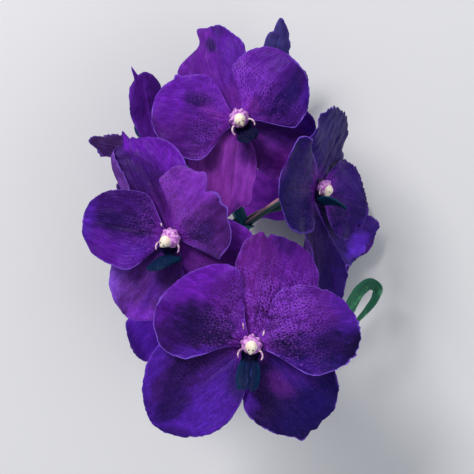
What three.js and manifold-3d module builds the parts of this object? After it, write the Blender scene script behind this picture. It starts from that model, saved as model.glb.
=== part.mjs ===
// A cut spray of Vanda orchid flowers, lying on its back flowers and on the cut end of its stem.
// Millimetres, +Z up. X runs across the spray, Y along its stem towards the tip.
// The origin is on the surface it lies on, under the middle of its box.
import * as THREE from 'three'
import { mergeVertices } from 'three/addons/utils/BufferGeometryUtils.js'
import Module from 'manifold-3d'

const wasm = await Module()
wasm.setup()

// ---------------------------------------------------------------------------
// Driving dimensions
// ---------------------------------------------------------------------------

const GAP = 0.3                 // clear space between pieces that touch on the plant
const TEPAL_THICKNESS = 1.0
const RIM_LAG = 1.3             // how far the ruffle of one margin runs ahead of the other, in radians
const LAID_BLEND = 1.5          // height over which a tepal curves down onto the surface

const HUB = { backRadius: 2.3, rimRadius: 5.7, back: -6, rim: 2.2, floor: 0.9, sides: 12 }

const COLUMN = {
  collar: [[0, 0], [3.6, 0], [4.5, 1.8], [4.2, 4.0], [3.1, 5.8], [0, 6.4]],
  capRadius: 3.2,
  capOffset: -0.5,
  capHeight: 6.4,
}
const HOOK = {                  // the pale curled wings beside the cap, right one, mirrored for the left
  radius: 0.65,
  path: [[2.8, -0.6, 4.2], [4.9, -1.2, 5.0], [6.1, -2.8, 5.6], [6.1, -4.6, 6.0], [5.4, -6.0, 6.2]],
}

const LIP = {
  height: 1.75,                 // middle of the root above the hub
  length: 15.5,
  claw: 3.2,                    // half widths
  blade: 5.5,
  thickness: 1.5,
  ridge: 0.9,
  notch: 2.2,
}

const STALK = { radius: 1.95, sides: 6, steps: 6, reach: 6.3 }
const LEAF = { width: 6, thickness: 0.9, rows: 20, columns: 2 }

const COLOUR = {
  violet: 0x4f2487,
  violetDeep: 0x3c2170,
  cream: 0xe9d3d6,
  lip: 0x16284e,
  stem: 0x2c4a3a,
  leaf: 0x2f5a41,
}

// ---------------------------------------------------------------------------
// Tepals: the usual shape of each kind, in millimetres, degrees and shares of the length
// ---------------------------------------------------------------------------
// angle    direction in the flower's face, from its right, turning left
// left     half width on the side towards larger angles; right, on the other side
// rise     how steeply the midline leaves the face; bend, how much it turns back to its tip
// cup      turn of each margin out of the face; crease, slope of the two halves to the midline
// belly    where it is widest; shoulder and tip, how full it is below and above that place
// sway     sideways bend of the midline; twist, turn of the blade about the midline
// ruffle   height of the margin's waves; root and back, how far from the flower's axis and how
//          far behind its face the midline starts

const KINDS = {
  dorsal: {
    length: 44, left: 19, right: 19, rise: 12, bend: -20, cup: 10, crease: 0, belly: 0.58, shoulder: 0.9,
    tip: 2.2, sway: 0, twist: 0, ruffle: 0.9, waves: 2.5, phase: 0, claw: 0.12, root: 1.5, back: 2.2,
  },
  petal: {
    length: 44, left: 21, right: 21, rise: 18, bend: -26, cup: 8, crease: 0, belly: 0.56, shoulder: 0.8,
    tip: 2.2, sway: 0, twist: 0, ruffle: 1.1, waves: 2.5, phase: 1, claw: 0.12, root: 1.5, back: 0,
  },
  lateral: {
    length: 46, left: 20, right: 20, rise: 6, bend: -16, cup: 8, crease: 0, belly: 0.6, shoulder: 0.9,
    tip: 2.2, sway: 0, twist: 0, ruffle: 0.9, waves: 2.5, phase: 2, claw: 0.12, root: 1.5, back: 3.2,
  },
}

const dorsal = (own) => ({ ...KINDS.dorsal, ...own })
const petal = (own) => ({ ...KINDS.petal, ...own })
const lateral = (own) => ({ ...KINDS.lateral, ...own })

// ---------------------------------------------------------------------------
// Flowers: where each one faces, which way its lip hangs, its five tepals and its stalk
// ---------------------------------------------------------------------------
// yaw turns the face to the right, pitch turns it towards the spray's tip; lip is the lip's
// direction in the face, its lift out of it and how far from the flower's axis it starts

const FLOWERS = [
  {
    name: 'front', at: [6.3, -56.5, 94], yaw: 0, pitch: 0, fine: true,
    lip: { angle: -96, lift: 46, root: 6 },
    stalk: [[7, -40, 25], [7, -47, 45], 22],
    tepals: [
      dorsal({ angle: 77, length: 50, left: 14, right: 24.5, belly: 0.65, shoulder: 1.1, tip: 2.3, sway: 0.05,
        cup: -6, rise: 8, bend: -14 }),
      petal({ angle: 145, length: 45, left: 22, right: 27, belly: 0.57, shoulder: 1.9, tip: 1.9, sway: 0.11,
        crease: -9, cup: 6, rise: 20 }),
      petal({ angle: 20, length: 48, left: 21.5, right: 21, belly: 0.47, shoulder: 2, tip: 2.25, sway: -0.13,
        crease: -10, cup: 6, rise: 20 }),
      lateral({ angle: -143, length: 56, left: 21.5, right: 26, belly: 0.55, tip: 1.7, sway: 0.02 }),
      lateral({ angle: -54, length: 48, left: 24, right: 20.5, belly: 0.49, shoulder: 1.3, tip: 1.9,
        sway: 0.06, back: 4.6, rise: 4 }),
    ],
  },
  {
    name: 'left', at: [-30.1, -8.2, 77], yaw: -15, pitch: -4, fine: true,
    lip: { angle: -98, lift: 95, root: 6.9 },
    stalk: [[2, 1, 38.5], [-6, -2, 42], 14],
    tepals: [
      dorsal({ angle: 106, length: 48.5, left: 13.5, right: 20, belly: 0.61, shoulder: 1.1, tip: 2.5,
        sway: 0.15, rise: 8 }),
      petal({ angle: 165, length: 42.5, left: 18.5, right: 18.5, belly: 0.4, shoulder: 1.6, sway: 0.03 }),
      petal({ angle: 36, length: 31, left: 26, right: 22, belly: 0.4, shoulder: 2.1, tip: 2.8, sway: 0.1,
        crease: -14, rise: 34, bend: -30 }),
      lateral({ angle: -124, length: 43.5, left: 18, right: 18.5, shoulder: 0.7, tip: 1.6 }),
      lateral({ angle: -14, length: 41, left: 15, right: 24, belly: 0.52, shoulder: 0.8, tip: 1.8,
        back: 4.6, rise: 2 }),
    ],
  },
  {
    name: 'top', at: [1.4, 47.4, 66], yaw: 0, pitch: 0, fine: true,
    lip: { angle: -64, lift: 84, root: 6.5 },
    stalk: [[-0.2, 22, 40.2], [0, 32, 42], 12.5],
    tepals: [
      dorsal({ angle: 115, length: 46.5, left: 20.5, right: 14.5, belly: 0.67, shoulder: 0.95, tip: 1.3,
        sway: -0.14, rise: 6 }),
      petal({ angle: 172, length: 40.5, left: 21.5, right: 18.5, belly: 0.42, shoulder: 2, tip: 2.15 }),
      petal({ angle: 45, length: 38, left: 22, right: 22, belly: 0.41, shoulder: 2.1, tip: 2.25, sway: 0.04,
        crease: -18, rise: 34, bend: -34 }),
      lateral({ angle: -99, length: 41, left: 11, right: 22, belly: 0.5, shoulder: 0.9, tip: 1.5,
        sway: 0.06, rise: 6 }),
      lateral({ angle: -24, length: 36.5, left: 18.5, right: 18, shoulder: 0.5, tip: 2.4, sway: -0.02,
        back: 4.6, rise: -2 }),
    ],
  },
  {
    name: 'right', at: [37.8, 14.6, 72], yaw: 52, pitch: 0, fine: true,
    lip: { angle: -114, lift: 98, root: 6.6 },
    stalk: [[3.2, -2, 38], [13.7, 4.6, 46.5], 12],
    tepals: [
      dorsal({ angle: 61, length: 40, left: 27, right: 15.5, belly: 0.36, shoulder: 1.6, tip: 2.25,
        sway: -0.05, cup: -1, rise: 7, bend: -4, twist: 18 }),
      petal({ angle: 178, length: 36, left: 20, right: 24, belly: 0.69, shoulder: 0.9, tip: 1.7, sway: 0.03,
        cup: 21, rise: 20 }),
      petal({ angle: -14, length: 31.5, left: 22, right: 18.5, belly: 0.6, shoulder: 1.1, tip: 1.6,
        cup: -17, rise: 16, bend: -6, twist: -6 }),
      lateral({ angle: -81, length: 58, left: 18, right: 23, belly: 0.65, shoulder: 2, tip: 2.6,
        cup: 50, rise: -10, bend: 22, twist: -5 }),
      lateral({ angle: -41, length: 53.5, left: 16.5, right: 13.5, belly: 0.85, shoulder: 2.2, tip: 1.6,
        sway: 0.18, cup: 22, rise: 4, bend: -8, twist: 13, back: 5 }),
    ],
  },
  {
    name: 'back_left', at: [-40.9, 36.1, 26.7], yaw: -148, pitch: 20,
    lip: { angle: 70, lift: 86, root: 6.2 },
    stalk: [[-0.5, 10, 40], [-10, 18, 41], 12],
    tepals: [
      lateral({ angle: 69, length: 42, left: 9.5, right: 10, shoulder: 0.5, tip: 1.8, sway: -0.03 }),
      lateral({ angle: -1, length: 38.5, left: 6.5, right: 6.5, belly: 0.7, shoulder: 1.4, tip: 1.75,
        sway: 0.14, twist: 50 }),
      petal({ angle: -97, length: 34, left: 14, right: 14, rise: 40, bend: -16, root: 3 }),
      petal({ angle: 140, length: 38, left: 15, right: 15, rise: 36, bend: -16, root: 3 }),
      dorsal({ angle: -140, length: 34, left: 13, right: 13, rise: 20 }),
    ],
  },
  {
    name: 'back_top', at: [12.5, 63.3, 25], yaw: 160, pitch: 30,
    lip: { angle: 50, lift: 50, root: 6.4 },
    stalk: [[0.8, 34, 39.4], [3, 42, 42], 8],
    tepals: [
      petal({ angle: 124, length: 42, left: 7, right: 6, belly: 0.35, shoulder: 0.9, tip: 1.6, sway: -0.2,
        rise: 12, bend: -20, cup: 57, ruffle: 0.9, phase: 0, back: 2.2 }),
      lateral({ angle: 111, length: 35, left: 6, right: 6, shoulder: 0.8, rise: 18, bend: -26, cup: 57,
        ruffle: 1.1, phase: 1, back: 3.4 }),
      petal({ angle: 198, length: 27, left: 12, right: 12, rise: 70, bend: -20, root: 4.6, back: 0 }),
      dorsal({ angle: -112, length: 34, left: 13, right: 13, rise: 16, bend: -16, back: 3.2 }),
      lateral({ angle: -20, length: 36, left: 14, right: 14, rise: 46, root: 4.6, back: 0 }),
    ],
  },
  {
    name: 'back_right', at: [42.6, 5.2, 24.5], yaw: 165, pitch: -8,
    lip: { angle: -66, lift: 80, root: 6.4 },
    stalk: [[3, -1, 38], [17.2, 11.6, 38], 12],
    tepals: [
      lateral({ angle: 18, length: 40, left: 11, right: 13.5, belly: 0.75, shoulder: 1.3, tip: 3, sway: 0.11,
        rise: 18, bend: -26, ruffle: 1.1, phase: 1, back: 0 }),
      petal({ angle: 88, length: 34, left: 12, right: 12, rise: 50, bend: -14, root: 4.6, back: 0 }),
      dorsal({ angle: 150, length: 28, left: 12, right: 12, rise: 64, bend: -16, root: 4.6, back: 0 }),
      petal({ angle: -144, length: 32, left: 12, right: 12, rise: 54, bend: -10, root: 4.6, back: 0 }),
      lateral({ angle: -93, length: 36, left: 12, right: 12, rise: 38, root: 3 }),
    ],
  },
  {
    name: 'back_low', at: [-26.5, -44.9, 25], yaw: -165, pitch: -15,
    lip: { angle: -62, lift: 64, root: 6.2 },
    stalk: [[6, -30, 28.5], [-4, -32, 40], 14],
    tepals: [
      lateral({ angle: -28, length: 31, left: 14, right: 7, belly: 0.8, shoulder: 1.7, tip: 1.7, sway: -0.14,
        rise: 18, bend: -26, ruffle: 1.1, phase: 1, back: 0 }),
      lateral({ angle: -105, length: 38, left: 14, right: 14, rise: 34, bend: -20, back: 2.2 }),
      petal({ angle: 178, length: 36, left: 14, right: 14, rise: 46, root: 4.6, back: 0 }),
      dorsal({ angle: 116, length: 38, left: 13, right: 13, rise: 50, bend: -16, root: 4.6, back: 0 }),
      petal({ angle: 44, length: 36, left: 12, right: 12, rise: 30, bend: -16, back: 3.2 }),
    ],
  },
]

// The main stem, in lengths that overlap and get thinner from the cut end to the tip
const STEM = {
  sides: 8,
  internodes: [
    { radius: 3, steps: 5, points: [[12.9, -94, 2.8], [10.2, -70, 12], [7, -39, 25], [3.9, -9, 36]] },
    { radius: 3.3, steps: 5, points: [[4.4, -14, 34.2], [2, 1, 38.5], [-0.5, 9.4, 40], [0, 25.5, 40]] },
    { radius: 2.4, steps: 4, points: [[-0.4, 22, 40.1], [2.9, 45.3, 38], [6.4, 61.3, 35]] },
  ],
}

// The strap leaf's midline, and the turn of its blade about it in degrees, from stem to tip
const LEAF_LINE = [
  [13.7, -70.3, 11.6], [27, -67, 11], [42, -61, 13], [53.4, -51, 15.5], [56.6, -44, 17.5], [59, -39, 19],
  [61.8, -34.4, 20.5], [66, -31.1, 22], [69.3, -33, 24.5], [68.2, -37.6, 26.5], [64.4, -43.2, 28],
  [59.9, -48.3, 29], [53, -56, 29],
]
const LEAF_TURN = [60, 35, 20, 15, 15, 18, 20, 26, 46, 62, 66, 66, 60]

// ---------------------------------------------------------------------------
// Geometry helpers
// ---------------------------------------------------------------------------

const rad = THREE.MathUtils.degToRad
const clamp = THREE.MathUtils.clamp
const vector = (a) => new THREE.Vector3(...a)

/** Surface normals of a grid of points, from the neighbours of each point. */
function gridNormals(points) {
  const last = points.length - 1
  const end = points[0].length - 1
  const along = new THREE.Vector3()
  const across = new THREE.Vector3()
  const normals = points.map((row, i) => row.map((_, j) => {
    const inner = Math.min(i, last - 1)
    along.subVectors(points[Math.min(i + 1, last)][j], points[Math.max(i - 1, 0)][j])
    across.subVectors(points[inner][Math.min(j + 1, end)], points[inner][Math.max(j - 1, 0)])
    return new THREE.Vector3().crossVectors(along, across).normalize()
  }))
  return normals
}

/**
 * A closed thin body on both sides of a grid of points. front and back give its depth on each
 * side of the grid. A pointed sheet's last row is a single point.
 */
function sheet(points, front, back, pointed) {
  const rows = points.length - 1
  const columns = points[0].length - 1
  const normals = gridNormals(points)
  const positions = []
  const place = (side) => points.map((row, i) => {
    const tip = pointed && i === rows
    let shared = -1
    return row.map((point, j) => {
      if (tip && shared >= 0) return shared
      const depth = side > 0 ? front(i, j) : -back(i, j)
      const normal = tip ? normals[i][Math.round(columns / 2)] : normals[i][j]
      positions.push(...point.clone().addScaledVector(normal, depth).toArray())
      shared = positions.length / 3 - 1
      return shared
    })
  })
  const faceUp = place(1)
  const faceDown = place(-1)
  const index = []
  const triangle = (a, b, c) => {
    if (a !== b && b !== c && c !== a) index.push(a, b, c)
  }
  const quad = (a, b, c, d) => {
    triangle(a, b, c)
    triangle(a, c, d)
  }
  for (let i = 0; i < rows; i++) {
    for (let j = 0; j < columns; j++) {
      quad(faceUp[i][j], faceUp[i + 1][j], faceUp[i + 1][j + 1], faceUp[i][j + 1])
      const [a, b, c, d] = [faceDown[i][j], faceDown[i + 1][j], faceDown[i + 1][j + 1], faceDown[i][j + 1]]
      triangle(a, c, b)
      triangle(a, d, c)
    }
    quad(faceUp[i + 1][0], faceUp[i][0], faceDown[i][0], faceDown[i + 1][0])
    quad(faceUp[i][columns], faceUp[i + 1][columns], faceDown[i + 1][columns], faceDown[i][columns])
  }
  for (let j = 0; j < columns; j++) {
    quad(faceUp[0][j], faceUp[0][j + 1], faceDown[0][j + 1], faceDown[0][j])
    if (!pointed) quad(faceUp[rows][j + 1], faceUp[rows][j], faceDown[rows][j], faceDown[rows][j + 1])
  }
  return bodyGeometry(positions, index)
}

/** A solid round tube along a curve. */
function tube(curve, radius, sides, steps) {
  const corner = (k) =>
    new THREE.Vector2(radius, 0).rotateAround(new THREE.Vector2(), (2 * Math.PI * k) / sides)
  const section = new THREE.Shape(Array.from({ length: sides }, (_, k) => corner(k)))
  return new THREE.ExtrudeGeometry(section, { extrudePath: curve, steps, bevelEnabled: false })
}

function bodyGeometry(positions, index) {
  const geometry = new THREE.BufferGeometry()
  geometry.setAttribute('position', new THREE.Float32BufferAttribute(positions, 3))
  geometry.setIndex(index)
  return geometry
}

function toSolid(geometry) {
  const bare = geometry.clone()
  bare.deleteAttribute('normal')
  bare.deleteAttribute('uv')
  const merged = mergeVertices(bare, 1e-5)
  return new wasm.Manifold(new wasm.Mesh({
    numProp: 3,
    vertProperties: new Float32Array(merged.attributes.position.array),
    triVerts: new Uint32Array(merged.index.array),
  }))
}

/** Joins closed bodies into one, takes away the room of another piece and drops loose scraps. */
function grown(geometries, rooms = []) {
  const joined = geometries.map(toSolid).reduce((all, one) => all.add(one))
  const whole = rooms.map(toSolid).reduce((all, one) => all.subtract(one), joined)
  const pieces = whole.decompose().sort((a, b) => b.volume() - a.volume())
  const { vertProperties, triVerts } = pieces[0].getMesh()
  return bodyGeometry(Array.from(vertProperties), Array.from(triVerts))
}

function piece(name, geometry, colour, roughness) {
  geometry.computeVertexNormals()
  const material = new THREE.MeshStandardMaterial({ color: colour, roughness, metalness: 0 })
  const mesh = new THREE.Mesh(geometry, material)
  mesh.name = name
  return mesh
}

// ---------------------------------------------------------------------------
// Tepals
// ---------------------------------------------------------------------------

/** Half width of a tepal at t along its length: rounded up from the claw, then round to the tip. */
function halfWidth(tepal, t, side) {
  const full = side > 0 ? tepal.left : tepal.right
  if (t < tepal.belly) {
    const rising = Math.sin((Math.PI / 2) * (t / tepal.belly)) ** tepal.shoulder
    return full * (tepal.claw + (1 - tepal.claw) * rising)
  }
  const past = (t - tepal.belly) / (1 - tepal.belly)
  return full * Math.max(1 - past ** tepal.tip, 0) ** (1 / tepal.tip)
}

/** A point of the tepal's middle surface: t from root to tip, v from the right to the left margin. */
function tepalPoint(tepal, t, v) {
  const width = v * halfWidth(tepal, t, v)
  const slope = rad(tepal.rise) + rad(tepal.bend) * t
  const turn = rad(tepal.bend)
  let reach = (tepal.length * (Math.sin(slope) - Math.sin(rad(tepal.rise)))) / turn
  let height = (-tepal.length * (Math.cos(slope) - Math.cos(rad(tepal.rise)))) / turn
  const cupRadius = (tepal.left + tepal.right) / 2 / rad(tepal.cup)
  const side = cupRadius * Math.sin(width / cupRadius) * Math.cos(rad(tepal.crease))
  const envelope = Math.sqrt(Math.max(Math.sin(Math.PI * t ** 0.8), 0))
  const wave = Math.sin(2 * Math.PI * tepal.waves * t + tepal.phase + RIM_LAG * Math.sign(v))
  const lift = cupRadius * (1 - Math.cos(width / cupRadius))
    + Math.sin(rad(tepal.crease)) * Math.abs(width)
    + tepal.ruffle * wave * Math.abs(v) ** 3 * envelope
  const twist = rad(tepal.twist) * clamp(3 * t, 0, 1)
  const sideways = side * Math.cos(twist) - lift * Math.sin(twist)
  const upward = side * Math.sin(twist) + lift * Math.cos(twist)
  reach += tepal.root - upward * Math.sin(slope)
  height += upward * Math.cos(slope) - tepal.back
  const across = sideways + tepal.sway * tepal.length * t * t
  const angle = rad(tepal.angle)
  return new THREE.Vector3(
    Math.cos(angle) * reach - Math.sin(angle) * across,
    Math.sin(angle) * reach + Math.cos(angle) * across,
    height,
  )
}

/** Height of a middle surface that would dip below the lying surface, curved flat onto it. */
function laidHeight(z) {
  const rest = TEPAL_THICKNESS / 2
  const above = z - rest
  if (above <= -LAID_BLEND) return rest
  if (above >= LAID_BLEND) return z
  return rest + (above + LAID_BLEND) ** 2 / (4 * LAID_BLEND)
}

/** The tepal as a thin closed body in its flower's own frame. */
function tepalBody(tepal, frame, rows, columns) {
  const toFlower = frame.clone().invert()
  const grid = []
  for (let i = 0; i <= rows; i++) {
    const t = Math.sin((Math.PI / 2) * (i / rows))
    const row = []
    for (let j = 0; j <= columns; j++) {
      const point = tepalPoint(tepal, t, -1 + (2 * j) / columns).applyMatrix4(frame)
      point.z = laidHeight(point.z)
      row.push(point)
    }
    grid.push(row)
  }
  const half = () => TEPAL_THICKNESS / 2
  const body = sheet(grid, half, half, true)
  const position = body.attributes.position
  for (let i = 0; i < position.count; i++) position.setZ(i, Math.max(position.getZ(i), 0))
  return body.applyMatrix4(toFlower)
}

function hubBody() {
  const height = HUB.rim - HUB.back
  const hub = new THREE.CylinderGeometry(HUB.rimRadius, HUB.backRadius, height, HUB.sides)
  return hub.rotateX(Math.PI / 2).translate(0, 0, (HUB.rim + HUB.back) / 2)
}

/** The room for the column: a round socket in the hub and clear space above it. */
function throatRoom() {
  const height = 14
  const radius = Math.max(...COLUMN.collar.map(([r]) => r)) + GAP
  const room = new THREE.CylinderGeometry(radius, radius, height, HUB.sides)
  return room.rotateX(Math.PI / 2).translate(0, 0, HUB.floor + height / 2)
}

// ---------------------------------------------------------------------------
// Column and lip
// ---------------------------------------------------------------------------

function hookBody(side, steps) {
  const points = HOOK.path.map(([x, y, z]) => new THREE.Vector3(side * x, y, z))
  return tube(new THREE.CatmullRomCurve3(points), HOOK.radius, 4, steps)
}

/** The collar round the column, its cap and its two pale wings, standing on the hub. */
function columnBody(fine) {
  const base = HUB.floor + GAP
  const profile = COLUMN.collar.map(([r, z]) => new THREE.Vector2(r, z))
  const collar = new THREE.LatheGeometry(profile, fine ? 10 : 8)
  collar.rotateX(Math.PI / 2).translate(0, 0, base)
  const cap = new THREE.SphereGeometry(COLUMN.capRadius, ...(fine ? [10, 6] : [7, 4]))
  cap.translate(0, COLUMN.capOffset, COLUMN.capHeight)
  const steps = fine ? 5 : 3
  return grown([collar, cap, hookBody(1, steps), hookBody(-1, steps)])
}

/** The three-ridged lip: u from root to end, v across; it hangs along -Y and lifts out of the face. */
function lipBody({ lift, root }, fine) {
  const rows = fine ? 6 : 4
  const columns = 8
  const grid = []
  for (let i = 0; i <= rows; i++) {
    const row = []
    for (let j = 0; j <= columns; j++) {
      const u = i / rows
      const v = -1 + (2 * j) / columns
      const spread = LIP.claw + (LIP.blade - LIP.claw) * Math.sin((Math.PI / 2) * clamp(u / 0.5, 0, 1)) ** 1.5
      const endTaper = 1 - 0.16 * clamp((u - 0.8) / 0.2, 0, 1)
      const notch = LIP.notch * Math.exp(-((v / 0.3) ** 2)) * clamp((u - 0.6) / 0.4, 0, 1)
      const s = LIP.length * u - notch
      const slope = rad(lift) * (1 - 0.25 * u)
      const hang = 0.055 * (v * spread * endTaper) ** 2
      row.push(new THREE.Vector3(
        v * spread * endTaper,
        -root - s * Math.cos(slope),
        HUB.floor + LIP.height + s * Math.sin(slope) - hang * u,
      ))
    }
    grid.push(row)
  }
  const ridged = (i, j) => {
    const v = Math.abs(-1 + (2 * j) / columns)
    const crest = Math.max(Math.exp(-((v / 0.14) ** 2)), Math.exp(-(((v - 0.5) / 0.14) ** 2)))
    return LIP.thickness / 2 + LIP.ridge * crest * Math.sin(Math.PI * clamp(0.15 + 0.8 * (i / rows), 0, 1))
  }
  const plain = () => LIP.thickness / 2
  return sheet(grid, ridged, plain, false)
}

// ---------------------------------------------------------------------------
// Flowers, stem and leaf
// ---------------------------------------------------------------------------

function flowerFrame(flower) {
  const turn = new THREE.Euler(rad(-flower.pitch), rad(flower.yaw), 0, 'YXZ')
  return new THREE.Matrix4().makeRotationFromEuler(turn).setPosition(...flower.at)
}

function flowerGroup(flower) {
  const frame = flowerFrame(flower)
  const [rows, columns] = flower.fine ? [7, 6] : [6, 4]
  const group = new THREE.Group()
  group.position.set(...flower.at)
  group.rotation.set(rad(-flower.pitch), rad(flower.yaw), 0, 'YXZ')
  const tepals = flower.tepals.map((tepal) => tepalBody(tepal, frame, rows, columns))
  const bloom = grown([hubBody(), ...tepals], [throatRoom()])
  group.add(piece(`${flower.name}_tepals`, bloom, COLOUR.violet, 0.5))
  const head = new THREE.Group()
  head.rotation.z = rad(flower.lip.angle + 90)
  head.add(piece(`${flower.name}_column`, columnBody(flower.fine), COLOUR.cream, 0.45))
  head.add(piece(`${flower.name}_lip`, lipBody(flower.lip, flower.fine), COLOUR.lip, 0.4))
  group.add(head)
  return group
}

/** The stalk from the stem to the back of a flower's hub, entering along the flower's axis. */
function stalkBody(flower) {
  const [start, leave, straight] = flower.stalk
  const frame = flowerFrame(flower)
  const end = new THREE.Vector3(0, 0, -STALK.reach).applyMatrix4(frame)
  const enter = new THREE.Vector3(0, 0, -STALK.reach - straight).applyMatrix4(frame)
  const curve = new THREE.CubicBezierCurve3(vector(start), vector(leave), enter, end)
  return tube(curve, STALK.radius, STALK.sides, STALK.steps)
}

function stemBody() {
  const internodes = STEM.internodes.map(({ radius, points, steps }) => {
    const curve = new THREE.CatmullRomCurve3(points.map(vector))
    return tube(curve, radius, STEM.sides, steps)
  })
  return grown([...internodes, ...FLOWERS.map(stalkBody)])
}

function leafBody() {
  const curve = new THREE.CatmullRomCurve3(LEAF_LINE.map(vector), false, 'centripetal')
  const up = new THREE.Vector3(0, 0, 1)
  const grid = []
  for (let i = 0; i <= LEAF.rows; i++) {
    const u = i / LEAF.rows
    const along = curve.getTangent(u)
    const place = u * (LEAF_TURN.length - 1)
    const low = Math.min(Math.floor(place), LEAF_TURN.length - 2)
    const turn = rad(LEAF_TURN[low] + (LEAF_TURN[low + 1] - LEAF_TURN[low]) * (place - low))
    const across = new THREE.Vector3().crossVectors(up, along).normalize().applyAxisAngle(along, turn)
    const half = (LEAF.width / 2) * Math.min(1, 0.55 + 3 * u, 4 * (1 - u) + 0.25)
    const row = []
    for (let j = 0; j <= LEAF.columns; j++) {
      const v = -1 + (2 * j) / LEAF.columns
      row.push(curve.getPoint(u).addScaledVector(across, v * half))
    }
    grid.push(row)
  }
  const depth = () => LEAF.thickness / 2
  return sheet(grid, depth, depth, false)
}

const spray = new THREE.Group()
FLOWERS.forEach((flower) => spray.add(flowerGroup(flower)))
spray.add(piece('stem', stemBody(), COLOUR.stem, 0.55))
spray.add(piece('leaf', leafBody(), COLOUR.leaf, 0.5))

export default spray
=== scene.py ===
"""A cut spray of Vanda orchid flowers lying on its back flowers and on the cut end of its stem.

Sizes are in millimetres and angles in degrees, as on a drawing, and become metres and radians
where a mesh is made. X runs across the spray, Y along its stem towards the tip, Z up from the
surface it lies on.
"""

import logging
import math
from dataclasses import dataclass, field
from enum import Enum
from functools import partial
from typing import Callable, Optional, Sequence, Union

import bmesh
import bpy
from mathutils import Matrix, Vector, noise


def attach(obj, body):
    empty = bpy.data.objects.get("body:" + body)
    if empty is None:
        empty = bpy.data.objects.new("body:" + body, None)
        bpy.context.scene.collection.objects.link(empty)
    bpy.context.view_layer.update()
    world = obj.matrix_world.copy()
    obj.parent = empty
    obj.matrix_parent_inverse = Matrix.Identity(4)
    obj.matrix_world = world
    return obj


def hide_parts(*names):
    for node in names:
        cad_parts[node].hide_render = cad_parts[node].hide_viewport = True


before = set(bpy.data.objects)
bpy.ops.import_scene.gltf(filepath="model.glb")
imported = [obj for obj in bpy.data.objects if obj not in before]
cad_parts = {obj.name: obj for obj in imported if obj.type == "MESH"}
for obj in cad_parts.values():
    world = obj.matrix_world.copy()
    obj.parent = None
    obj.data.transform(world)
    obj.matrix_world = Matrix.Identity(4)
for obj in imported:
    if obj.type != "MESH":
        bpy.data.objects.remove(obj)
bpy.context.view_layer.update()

MM = 0.001
LAID_REST = 0.5                     # height of a sheet's middle where it lies on the surface
LAID_BLEND = 1.5                    # height over which it curves down to that
LOG = logging.getLogger("vanda_spray")

Colour = tuple[float, float, float, float]
Triple = tuple[float, float, float]
Value = Union[float, Colour, Triple, "Wire"]


def clamp(value: float, low: float = 0.0, high: float = 1.0) -> float:
    """Keep a value between two limits."""
    return max(low, min(high, value))


def smooth(value: float, low: float, high: float) -> float:
    """Rise softly from 0 at low to 1 at high."""
    share = clamp((value - low) / (high - low))
    return share * share * (3 - 2 * share)


def bell(value: float, width: float) -> float:
    """A soft bump that is 1 at 0 and dies away past a width on both sides."""
    return math.exp(-(value / width) ** 2)


def uneven(x: float, y: float, z: float) -> float:
    """Smooth noise from about -1 to 1 at a place."""
    return noise.noise(Vector((x, y, z)))


def dye(red: int, green: int, blue: int) -> Colour:
    """Turn a display colour, each value 0 to 255, into the linear colour that a shader takes."""
    linear = [((c / 255 + 0.055) / 1.055) ** 2.4 if c > 10 else c / 255 / 12.92
              for c in (red, green, blue)]
    return (linear[0], linear[1], linear[2], 1.0)


# --- Node graphs ---

@dataclass(frozen=True, eq=False)
class Wire:
    """A value that flows through a node tree and takes part in sums like a number."""

    graph: "Graph"
    socket: bpy.types.NodeSocket

    def beside(self, output: str) -> "Wire":
        """Another output of the same node."""
        return Wire(self.graph, self.socket.node.outputs[output])

    def __add__(self, other: Value) -> "Wire":
        """The sum of both values."""
        return self.graph.math("ADD", self, other)

    def __sub__(self, other: Value) -> "Wire":
        """This value less the other."""
        return self.graph.math("SUBTRACT", self, other)

    def __mul__(self, other: Value) -> "Wire":
        """The product of both values."""
        return self.graph.math("MULTIPLY", self, other)

    def __truediv__(self, other: Value) -> "Wire":
        """This value over the other."""
        return self.graph.math("DIVIDE", self, other)

    def __abs__(self) -> "Wire":
        """The value without its sign."""
        return self.graph.math("ABSOLUTE", self)


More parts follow.
